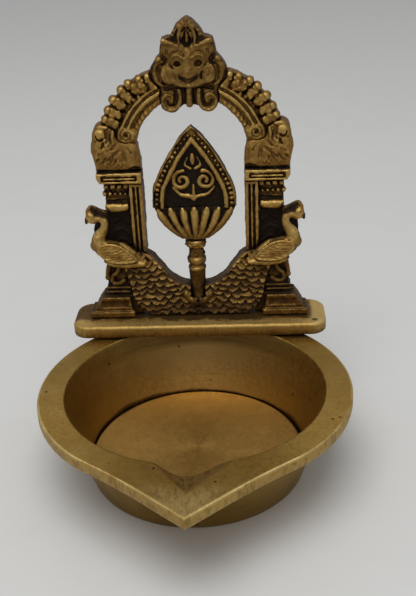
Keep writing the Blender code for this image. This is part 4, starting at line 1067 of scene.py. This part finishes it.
def casting_pits(n, pit_share, pit_at):
    """Small pits here and there, and one larger pit where its place is given."""
    cells = n.make("TexVoronoi", {"Vector": n.place(), "Scale": 420.0}, "Distance")
    chance = n.ramp(n.noise(170.0, 2.0), 0.64 - pit_share, 0.7 - pit_share)
    pit = (1.0 - n.ramp(cells, 0.1, 0.24)) * chance
    if pit_at is None:
        return pit
    away = n.make("VectorMath", {0: n.place(), 1: pit_at}, "Value", operation="DISTANCE")
    return n.math("MAXIMUM", pit, n.ramp(away, 0.0009, 0.0005))


def soil(n, tone, soiled_from, clean_from):
    """A brown band that starts at a depth (y) and ends about 9 mm behind it, with a clean right end."""
    across, depth = (n.make("SeparateXYZ", {"Vector": n.place()}, axis) for axis in "XY")
    uneven = depth + 0.016 * (tone - 0.5)
    start = n.ramp(uneven, soiled_from - 0.0016, soiled_from + 0.0006)
    end = n.ramp(uneven, soiled_from + 0.0105, soiled_from + 0.0075)
    return 0.56 * start * end * n.ramp(across, clean_from + 0.0003, clean_from - 0.0014)


def turned_brass(name, tints, streaks, pit_share, gloss, turned_share=0.0, soiled_from=None, pit_at=None):
    """Turned and filed brass: fine marks, clouded colour, small casting pits and dark seams.

    streaks is how fine the marks are along each axis, and gloss the least and the greatest roughness.
    soiled_from is a depth (y) in metres, and pit_at the place of one larger pit.
    """
    n = Nodes(name)
    mottle = n.noise(330.0, 4.0, 0.6)
    fine = n.noise(1300.0)
    marks = n.noise(streaks, 2.0, 0.6)
    strokes = n.noise((1200.0, 380.0, 420.0), 2.0, 0.6)
    stain_and_shade = n.attribute("stain_and_shade")
    filed = n.attribute("filed")
    pit = casting_pits(n, pit_share, pit_at)
    tone = 0.6 * n.noise(38.0, 5.0, 0.6) + 0.4 * mottle
    base = n.mix(n.ramp(tone, 0.36, 0.64), tints[0], tints[1])
    if pit_share > 0:
        base = n.mix(0.2 * n.ramp(fine, 0.52, 0.36), base, SPECKLE)
    # Painted reflection on the bowl's wall inside, and painted shade on that wall and on the floor disc
    base = n.mix(n.attribute("inside"), base, PAINTED_WALL_REFLECTION)
    base = n.mix(n.attribute("shade"), base, WALL_SHADE)
    base = n.mix(0.3 * n.ramp(marks, 0.45, 0.8), base, tints[2])
    ridges = filed * n.ramp(strokes, 0.42, 0.66)
    cuts = filed * n.ramp(strokes, 0.46, 0.40)
    base = n.mix(0.5 * ridges, base, FILE_RIDGE)
    base = n.mix(0.7 * cuts, base, FILE_CUT)
    base = n.mix(0.8 * n.attribute("rubbed"), base, RUBBED)
    if soiled_from is not None:
        stain_and_shade = n.math("MAXIMUM", stain_and_shade, soil(n, tone, soiled_from, pit_at[0]))
    # Stains, seams and nicks, and the painted shadow under the bar, darken to brown and then to near black
    speckle = 0.8 * (0.5 * (fine + mottle) - 0.5)
    smoke_and_shade = stain_and_shade + speckle * n.ramp(stain_and_shade, 0.0, 0.2)
    base = n.mix(0.85 * n.ramp(smoke_and_shade, 0.05, 0.5), base, SMOKE_AND_SHADE)
    dark = n.math("MAXIMUM", 0.8 * pit, n.ramp(smoke_and_shade, 0.4, 0.95))
    rough = n.blend(n.ramp(fine, 0.3, 0.7), *gloss) + 0.08 * filed
    height = 0.35 * marks + 0.3 * fine + 1.5 * (ridges - cuts) - 2.5 * pit
    inputs = {
        "Base Color": n.mix(dark, base, SOOT),
        "Roughness": n.blend(dark, rough, 0.7),
        "Metallic": 1.0,
        "Normal": n.bump(height, 0.25, 0.00012),
    }
    if turned_share:
        inputs["Anisotropic"] = turned_share
        inputs["Tangent"] = n.make("Tangent", {}, "Tangent", direction_type="RADIAL", axis="Z")
    return n.finish(inputs)


def bowl_brass():
    marks = (130.0, 130.0, 1500.0)
    return turned_brass("bowl_brass", OLIVE, marks, pit_share=0.05, gloss=(0.38, 0.5), turned_share=0.5)


def floor_brass():
    return turned_brass("floor_brass", WARM, 260.0, pit_share=-0.2, gloss=(0.52, 0.62), turned_share=0.25)


def bar_brass():
    """Filed brass, soiled round the plate's foot, with a larger pit near the clean right end."""
    low, high = span("base_bar")
    foot = (span("right_plinth")[0].y + AXIS_Y) * MM
    pit_at = ((high.x - 2.8) * MM, (low.y + AXIS_Y + 2.4) * MM, high.z * MM)
    marks = (90.0, 1400.0, 1400.0)
    return turned_brass("bar_brass", FILED, marks, 0.04, gloss=(0.54, 0.66), soiled_from=foot, pit_at=pit_at)


# Meshes


def new_piece(name, points, faces, material, attributes):
    """A smooth-shaded object that rides the lamp and stands for the CAD node of the same name.

    Its points are in millimetres from the bowl's axis.
    """
    world = (np.array(points, float) + (0.0, AXIS_Y, 0.0)) * MM
    mesh = bpy.data.meshes.new(name)
    mesh.from_pydata(world.tolist(), [], [list(map(int, f)) for f in faces])
    mesh.materials.append(material)
    for key, values in attributes.items():
        layer = mesh.attributes.new(key, "FLOAT", "POINT")
        layer.data.foreach_set("value", np.asarray(values, np.float32))
    mesh.shade_smooth()
    mesh.validate()
    piece = bpy.data.objects.new(name + "_look", mesh)
    bpy.context.scene.collection.objects.link(piece)
    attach(piece, "root")
    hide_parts(name)


def vertex_normals(points, quads):
    spots = points[quads]
    across = np.cross(spots[:, 2] - spots[:, 0], spots[:, 3] - spots[:, 1])
    normals = np.zeros_like(points)
    for k in range(4):
        np.add.at(normals, quads[:, k], across)
    return normals / (np.linalg.norm(normals, axis=1, keepdims=True) + 1e-12)


def relax(points, quads, times):
    """Evens out a mesh a little, each point towards its neighbours and back out."""
    edges = np.concatenate([quads[:, [k, (k + 1) % 4]] for k in range(4)])
    degree = np.bincount(edges.ravel(), minlength=len(points))[:, None]
    for share in (0.5, -0.48) * times:
        total = np.zeros_like(points)
        np.add.at(total, edges[:, 0], points[edges[:, 1]])
        np.add.at(total, edges[:, 1], points[edges[:, 0]])
        points = points + share * (total / degree - points)
    return points


def blurred_front(whole, first, radius):
    """Depth of the plate's front over the right half, evened out, as a grid over x and z."""
    inside = whole[-first[0] :] < 0
    seen = inside.any(axis=1)
    depth = (first[1] + np.argmax(inside, axis=1)) * STEP * seen
    count = len(depth)
    depth = np.concatenate([depth[:0:-1], depth])
    seen = np.concatenate([seen[:0:-1], seen]).astype(float)
    waves = np.fft.fftfreq(depth.shape[0])[:, None] ** 2 + np.fft.fftfreq(depth.shape[1])[None, :] ** 2
    damp = np.exp(-2 * (math.pi * radius / STEP) ** 2 * waves)

    def even(values):
        return np.real(np.fft.ifft2(np.fft.fft2(values) * damp))

    smooth = even(depth) / np.maximum(even(seen), 1e-3)
    return smooth[count - 1 :]


def patina_of(cast, points, quads, whole, first, smooth):
    """How hollow and how ridged the plate is at each point of a casting, from 0 to 1."""
    normals = vertex_normals(points, quads)
    crease = np.zeros(len(points))
    reaches = (0.35, 0.8, 1.6)
    for reach in reaches:
        probe = points + normals * reach
        probe[:, 0] = np.abs(probe[:, 0])
        crease += np.clip(1.0 - sample(whole, first, probe) / reach, 0.0, 1.2) / len(reaches)
    # How far each point stands before the evened front, or lies behind it
    column = np.clip(np.round(np.abs(points[:, 0]) / STEP).astype(int), 0, smooth.shape[0] - 1)
    level = np.clip(np.round(points[:, 2] / STEP).astype(int) - first[2], 0, smooth.shape[1] - 1)
    proud = smooth[column, level] - points[:, 1]
    sunk = 0.55 * unit((points[:, 1] - PLATE_FRONT - 1.0) / 0.8)
    hollow = 0.6 * unit((crease - 0.25) / 0.5) + 0.6 * unit(-proud / 0.6)
    hollow = np.maximum(hollow, sunk) * cast.patina
    spots = [points[:, k].reshape(-1, 1, 1) for k in range(3)]
    # Darkened shapes: real dark patches, and the painted shadow on the peacock's beak
    for (_, _, distance), amount in cast.stains_and_shade:
        share = unit(0.5 - distance(*spots).reshape(-1) / 0.3)
        hollow = np.maximum(hollow, amount * share)
    back = unit(normals[:, 1] * 2.0 - 0.6)
    hollow = unit(hollow * (1 - back) + 0.45 * back)
    ridge = unit((proud - 0.12) / 0.5) * unit(0.7 - normals[:, 1])
    return {"hollow": hollow, "ridge": ridge}


def build_plate(material):
    """All castings of the back plate, the left-hand ones as mirror images."""
    sides = (make_plinth, make_pillar, make_capital, make_beast, make_arch)
    makers = sides + (make_mask, make_peacock, make_stem, make_cup, make_blade)
    casts = [make() for make in makers]
    for cast in casts:
        cast.roughen(amount=0.07)
    # All castings on one grid, with the bar's top below them
    first = np.min([c.first for c in casts], axis=0)
    last = np.max([c.first + c.field.shape for c in casts], axis=0)
    whole = np.full(last - first, FAR, np.float32)
    for cast in casts:
        place = tuple(slice(a, a + n) for a, n in zip(cast.first - first, cast.field.shape))
        whole[place] = np.minimum(whole[place], cast.field)
    smooth = blurred_front(whole, first, radius=1.3)
    heights = (first[2] + np.arange(whole.shape[2])) * STEP
    whole = np.minimum(whole, heights - span("base_bar")[1].z).astype(np.float32)
    for cast in casts:
        points, quads = cast.surface()
        points = relax(points, quads, times=2)
        points[:, 2] = np.minimum(points[:, 2], cad_bounds[1][2] / MM)
        values = patina_of(cast, points, quads, whole, first, smooth)
        new_piece(cast.name, points, quads, material, values)
        if cast.name.startswith("right_"):
            other = points * np.array((-1.0, 1.0, 1.0))
            new_piece(cast.name.replace("right_", "left_"), other, quads[:, ::-1], material, values)


def rings_to_mesh(rings, closed):
    """Points and faces through rings of equally many points.

    The last ring is joined to the first if closed. Otherwise the first and the last are filled.
    """
    count = len(rings[0])
    total = count * len(rings)
    faces = []
    for r in range(len(rings) if closed else len(rings) - 1):
        a, b = r * count, (r + 1) % len(rings) * count
        for i in range(count):
            j = (i + 1) % count
            faces.append((a + i, a + j, b + j, b + i))
    if not closed:
        faces += [tuple(reversed(range(count))), tuple(range(total - count, total))]
    return np.concatenate(rings), faces


RIM_TOP = bowl_high.z / MM
RIM_THICKNESS = 2.7
RIM_INNER = RIM_RADIUS - 5.8
WALL_TOP_RADIUS = 28.9
FOOT_RADIUS = 23.9
FLOOR_GAP = 0.3  # between the floor disc and its seat in the foot
LIP_REACH = -bowl_low.y / MM + AXIS_Y
LIP_HOLLOW = 0.5
TROUGH_TIP = -37.0
TROUGH_LENGTH = 9.4
TROUGH_DEPTH = 2.0
TROUGH_FALL = 1.3
TROUGH_RINGS = 46  # rings that the trough may sink: the rim's top and the upper part of the wall inside
# Nicks by the trough and on the rim: x, y and size
NICKS = (
    (5.2, -33.6, 0.26),
    (6.9, -32.2, 0.16),
    (14.6, -33.2, 0.16),
    (-15.2, -27.6, 0.14),
    (-32.3, -1.5, 0.3),
)


def around(count):
    """Angles round the bowl from the lip, closer together near it."""
    shares = np.linspace(0.0, 1.0, count // 2 + 1) ** 1.4 * math.pi
    return np.concatenate([shares, -shares[-2:0:-1]]) - math.pi / 2


def leaf_radius(angle):
    """Distance from the bowl's axis to its leaf outline: a circle drawn out to a lip at -Y."""
    from_lip = np.abs((angle + 1.5 * math.pi) % (2 * math.pi) - math.pi)
    tangent = math.acos(RIM_RADIUS / LIP_REACH)
    drawn = RIM_RADIUS / np.cos(tangent - np.minimum(from_lip, tangent))
    hollow = LIP_HOLLOW * np.sin(math.pi * np.minimum(from_lip / tangent, 1.0))
    return np.where(from_lip >= tangent, RIM_RADIUS, drawn - hollow)


def lip_drop(x, y):
    """How far the rim sinks at a point, for the wick's trough: a crisp left side, a soft right one."""
    share = np.clip((y - TROUGH_TIP) / TROUGH_LENGTH, 0.0, 1.35)
    left, right = -6.6 * share, 8.4 * share
    across = unit((x - left) / np.maximum(right - left, 1e-6))
    crisp = np.sin(math.pi / 2 * np.minimum(across / 0.4, 1.0))
    soft = np.cos(math.pi / 2 * unit((across - 0.4) / 0.6)) ** 2
    at_lip = y < -RIM_RADIUS / 2
    return (TROUGH_DEPTH * share + TROUGH_FALL * share**5) * np.where(across < 0.4, crisp, soft) * at_lip


def ring_points(turns, radius, z):
    return np.stack([radius * np.cos(turns), radius * np.sin(turns), np.full(len(turns), z)], axis=1)


def ragged(turns):
    """How far the dark seam round the floor spreads, from 0 to 1."""
    return 0.5 + 0.3 * np.sin(3 * turns + 1.0) + 0.2 * np.sin(11 * turns) * np.sin(5 * turns + 2.0)


def bowl_rings(turns):
    """The bowl's rings, from the foot over the wall and the rim to the floor's seat, with their wear.

    Gives the rings, how rubbed, filed and stained each is, and the number of the rim top's first ring.
    """
    floor_low, floor_high = span("floor_disc")
    seat, ledge = floor_high.x + FLOOR_GAP, floor_low.z - FLOOR_GAP
    foot, wall_top = FOOT_RADIUS, WALL_TOP_RADIUS
    height, under, inner = RIM_TOP, RIM_TOP - RIM_THICKNESS, RIM_INNER
    leaf = leaf_radius(turns)
    spread = ragged(turns)
    worn = 0.62 + 0.25 * np.sin(4 * turns) + 0.3 * np.sin(23 * turns + 1.0) * np.sin(9 * turns)
    worn = np.clip(worn, 0.15, 1.0)
    rings, rubbed, filed, stain_and_shade = [], [], [], []

    def ring(radius, z, bright=0.0, marks=0.0, dark=0.0):
        rings.append(ring_points(turns, radius, z))
        for values, value in ((rubbed, bright), (filed, marks), (stain_and_shade, dark)):
            values.append(np.zeros(len(turns)) + value)

    # Foot and outer wall
    ring(seat - 2.4, ledge)
    ring(seat - 2.4, 0.0)
    ring(foot - 0.5, 0.0)
    ring(foot - 0.15, 0.15)
    ring(foot, 0.5)
    for share in np.linspace(0.1, 0.95, 10):
        ring(foot + (wall_top - foot) * share, 0.5 + (under - 0.5) * share)
    ring(wall_top, under - 0.2, dark=0.3)
    ring(wall_top + 0.3, under, dark=0.3)
    # The rim's edge, unevenly worn, and its top, filed at the lip
    ring(leaf - 0.7, under)
    ring(leaf - 0.3, under + 0.05, 0.3 * worn)
    ring(leaf - 0.08, under + 0.25, 0.5 * worn, 0.55)
    ring(leaf, under + 0.6, 0.1, 0.55)
    ring(leaf, height - 0.55, 0.1, 0.55)
    ring(leaf - 0.04, height - 0.25, 0.7 * worn, 0.55)
    ring(leaf - 0.14, height - 0.09, worn, 0.6)
    ring(leaf - 0.32, height, 0.85 * worn, 0.3)
    top_ring = len(rings)
    lip = np.exp(-((turns + math.pi / 2) ** 2) / 0.03)
    for share in np.linspace(0.95, 0.0, 30):
        marks = lip * unit((share - 0.45) / 0.3)
        ring(inner + 0.25 + (leaf - 0.55 - inner) * share, height, 0.45 * marks, marks)
    # The wall inside, down to the dark seam round the floor
    ring(inner + 0.08, height - 0.07, 0.1)
    wall_height = height - 0.28
    ring(inner, wall_height)
    for share in np.concatenate([np.linspace(0.03, 0.9, 26), np.linspace(0.915, 0.99, 7)]):
        seam = unit(1.25 - (1.0 - share) / (0.015 + 0.06 * spread))
        z = wall_height + (floor_high.z - wall_height) * share
        ring(inner + (seat - inner) * share, z, dark=(0.3 + 0.42 * spread) * seam)
    ring(seat, floor_high.z, dark=0.72)
    ring(seat, floor_high.z - 0.5, dark=1.0)
    ring(seat, ledge, dark=1.0)
    return rings, (rubbed, filed, stain_and_shade), top_ring


def rim_shadow_and_scorch(x, y, z):
    """Painted shadow on the rim under the bar, scorch most of all under its right end, and a few dark nicks.
    """
    bar_low, bar_high = span("base_bar")
    near = np.exp(-np.maximum(bar_low.y - y, 0.0) / 0.5) * (z > RIM_TOP - 0.6)
    end = 0.3 + 0.65 * np.exp(-(((x - 24.5) / 3.5) ** 2))
    stain_and_shade = near * end * (np.abs(x) < bar_high.x)
    for nick_x, nick_y, size in NICKS:
        off = np.hypot(x - nick_x, y - nick_y)
        stain_and_shade = np.maximum(stain_and_shade, 0.9 * unit(1.5 - off / size) * (z > RIM_TOP - 2.5))
    return stain_and_shade


def painted_wall_light(x, y, z):
    """Painted light on the wall inside: a painted reflection, most in the middle of the back and low down,
    and painted shade at the sides and under the bar.
    """
    back = unit(1.05 * y / RIM_INNER)
    level = z / RIM_TOP
    painted_bar_shadow = np.maximum(0.26 * unit(2.2 * level - 0.6), 0.85 * unit(9.0 * level - 6.3))
    lit = 1.0 - 0.6 * unit(2.0 * level - 0.6)
    painted_reflection = lit * back**1.5 * (0.5 + 0.5 * np.exp(-((x / 9.0) ** 2)))
    return painted_reflection, np.maximum(0.2 * (1.0 - back), back**2 * painted_bar_shadow)


def build_bowl(material):
    """The bowl: foot ring, flaring wall and the leaf rim with its trough."""
    turns = around(count=480)
    rings, wear, top_ring = bowl_rings(turns)
    points, faces = rings_to_mesh(rings, True)
    rubbed, filed, stain_and_shade = (np.concatenate(values) for values in wear)
    x, y, z = points.T
    start = top_ring * len(turns)
    top = slice(start, start + TROUGH_RINGS * len(turns))
    drop = lip_drop(x[top], y[top])
    z[top] = np.minimum(z[top], RIM_TOP - drop)
    # What the trough's filing left rough
    filed[top] = np.maximum(filed[top], np.clip(drop / 0.8, 0.0, 0.7))
    stain_and_shade = np.maximum(stain_and_shade, rim_shadow_and_scorch(x, y, z))
    wall = np.hypot(x, y) < RIM_INNER + 0.05
    wall[:start] = False
    # The wall's painted reflection, and its painted shade at the sides and under the bar
    painted_reflection, brown = painted_wall_light(x, y, z)
    values = {"stain_and_shade": stain_and_shade, "rubbed": rubbed, "filed": filed, "inside": wall * painted_reflection, "shade": wall * brown}
    new_piece("bowl", points, [f[::-1] for f in faces], material, values)


def build_floor(material):
    """The floor disc, its edge blackened along the seam."""
    low, high = span("floor_disc")
    radius = high.x
    turns = np.linspace(0.0, 2 * math.pi, 256, endpoint=False)
    sizes = [(radius, low.z), (radius, high.z - 0.3), (radius - 0.08, high.z - 0.1), (radius - 0.3, high.z)]
    sizes += [(radius * share, high.z) for share in (0.98, 0.97, 0.96, 0.95, 0.93, 0.9, 0.8, 0.6, 0.4, 0.2)]
    rings = [ring_points(turns, r, z) for r, z in sizes]
    points, faces = rings_to_mesh(rings, False)
    x, y, _ = points.T
    reach = radius - np.hypot(x, y)
    stain_and_shade = 0.6 * unit(1.2 - reach / (0.15 + 0.7 * np.tile(ragged(turns), len(rings))))
    # Painted shade, darker towards the front and the right
    shade = 0.36 * unit(0.5 + (0.2 * x - 0.55 * y) / radius)
    zero = np.zeros(len(points))
    values = {"stain_and_shade": stain_and_shade, "rubbed": zero, "filed": zero, "shade": shade}
    new_piece("floor_disc", points, faces, material, values)


def build_bar(material):
    """The bar across the back of the rim, hand-filed, its edges softened."""
    low, high = span("base_bar")
    corner, soft = 4.0, 0.75
    middle = (low.y + high.y) / 2
    reach_x, reach_y = high.x - corner, (high.y - low.y) / 2 - corner
    # The four corners are turned about these points, from the back right one on
    turning = np.roll(corners((-reach_x, reach_x), (middle - reach_y, middle + reach_y)), 2, axis=0)
    centres, ways = [], []
    for k in range(4):
        here, there = turning[k], turning[(k + 1) % 4]
        for turn in np.radians(90.0 * k + np.linspace(0.0, 90.0, 11)):
            centres.append(here)
            ways.append((math.cos(turn), math.sin(turn)))
        # Points along the straight side that follows this corner
        steps = round(np.linalg.norm(there - here) / 0.8)
        for share in np.arange(1, steps) / steps:
            centres.append(here + (there - here) * share)
            ways.append(ways[-1])
    centres, ways = np.array(centres), np.array(ways)
    count = len(centres)
    # Hand filing leaves the edge a little uneven
    uneven = 0.09 + 0.05 * np.sin(0.9 * centres[:, 0] + 2.0 * ways[:, 1]) + 0.04 * np.sin(2.3 * centres[:, 0])

    def loop(inset, z):
        flat = centres + ways * (corner - inset - uneven)[:, None]
        return np.column_stack([flat, np.full(count, z)])

    rings = [loop(1.2, low.z), loop(0.35, low.z), loop(0.08, low.z + 0.1), loop(0.0, low.z + 0.4)]
    bright = [0.0, 0.0, 0.2, 0.0]
    for turn in np.radians((0, 18, 36, 54, 72, 84)):
        rings.append(loop(soft * (1 - math.cos(turn)), high.z - soft * (1 - math.sin(turn))))
        bright.append(0.2 * math.sin(2 * turn) ** 2)
    for inset, rub in ((0.9, 0.32), (1.3, 0.34), (1.8, 0.32), (2.4, 0.25), (3.0, 0.15), (3.6, 0.0)):
        rings.append(loop(inset, high.z))
        bright.append(rub)
    points, faces = rings_to_mesh(rings, False)
    x, _, z = points.T
    # The right end is handled most, so it is brightest
    rubbed = np.maximum(np.repeat(bright, count), 0.6 * unit((x - 25.6) / 2.2) * (z > high.z - 0.6))
    # Darker towards the bottom of its sides
    stain_and_shade = 0.4 * unit((high.z - 0.7 - z) / 0.8)
    values = {"stain_and_shade": stain_and_shade, "rubbed": rubbed, "filed": np.full(len(points), 0.25)}
    new_piece("base_bar", points, faces, material, values)


# Stage, light and camera


def build_stage():
    """A wide pale table top."""
    mesh = bpy.data.meshes.new("floor")
    reach = (-1.6, 1.6)
    mesh.from_pydata([(x, y, 0.0) for x, y in corners(reach, reach)], [], [(0, 1, 2, 3)])
    n = Nodes("pale_table")
    colour = n.mix(n.noise(90.0), (0.595, 0.59, 0.57), (0.625, 0.62, 0.60))
    mesh.materials.append(n.finish({"Base Color": colour, "Roughness": 0.6, "Metallic": 0.0}))
    floor = bpy.data.objects.new("floor", mesh)
    bpy.context.scene.collection.objects.link(floor)


def build_light():
    """An even room and one large soft lamp above, a little to the front."""
    scene = bpy.context.scene
    world = bpy.data.worlds.new("soft room")
    scene.world = world
    world.use_nodes = True
    nodes, links = world.node_tree.nodes, world.node_tree.links
    room = nodes["Background"]
    room.inputs["Color"].default_value = (0.97, 0.98, 1.0, 1.0)
    room.inputs["Strength"].default_value = 0.5
    seen = nodes.new("ShaderNodeBackground")
    seen.inputs["Color"].default_value = (0.58, 0.58, 0.565, 1.0)
    path = nodes.new("ShaderNodeLightPath")
    choose = nodes.new("ShaderNodeMixShader")
    links.new(path.outputs["Is Camera Ray"], choose.inputs["Fac"])
    links.new(room.outputs["Background"], choose.inputs[1])
    links.new(seen.outputs["Background"], choose.inputs[2])
    links.new(choose.outputs["Shader"], nodes["World Output"].inputs["Surface"])
    light = bpy.data.lights.new("ceiling", "AREA")
    light.shape = "RECTANGLE"
    light.size = light.size_y = 0.5
    light.energy = 2.75
    lamp = bpy.data.objects.new("ceiling", light)
    scene.collection.objects.link(lamp)
    place, target = Vector((-0.05, -0.16, 0.64)), Vector((0.0, 0.01, 0.03))
    lamp.location = place
    lamp.rotation_euler = (target - place).to_track_quat("-Z", "Y").to_euler()


def build_camera():
    """The photograph's view: a hand-held camera, close, above the lip and slightly rolled."""
    # In pixels of the photograph
    width, height, focal, axis_column = 416.0, 596.0, 900.0, 210.0
    pitch, roll, yaw = map(math.radians, (26.035, -2.342, -2.636))
    target, reach = Vector((4.044, 0.0, 40.193)), 186.23
    data = bpy.data.cameras.new("camera")
    data.sensor_width = 36.0
    data.lens = focal / height * data.sensor_width
    data.shift_x = (width / 2 - axis_column) / height
    data.clip_start = 0.01
    camera = bpy.data.objects.new("camera", data)
    bpy.context.scene.collection.objects.link(camera)
    # From the bowl's axis to the target, and from there back along the line of sight
    place = Matrix.Translation((0.0, AXIS_Y * MM, 0.0)) @ Matrix.Rotation(-yaw, 4, "Z")
    aim = Matrix.Rotation(math.pi / 2 - pitch, 4, "X") @ Matrix.Rotation(roll, 4, "Z")
    back = Matrix.Translation((0.0, 0.0, reach * MM))
    camera.matrix_world = place @ Matrix.Translation(target * MM) @ aim @ back
    bpy.context.scene.camera = camera


build_camera()
build_stage()
build_light()
build_bowl(bowl_brass())
build_floor(floor_brass())
build_bar(bar_brass())
build_plate(antique_brass())

bpy.context.scene.view_settings.view_transform = "Standard"
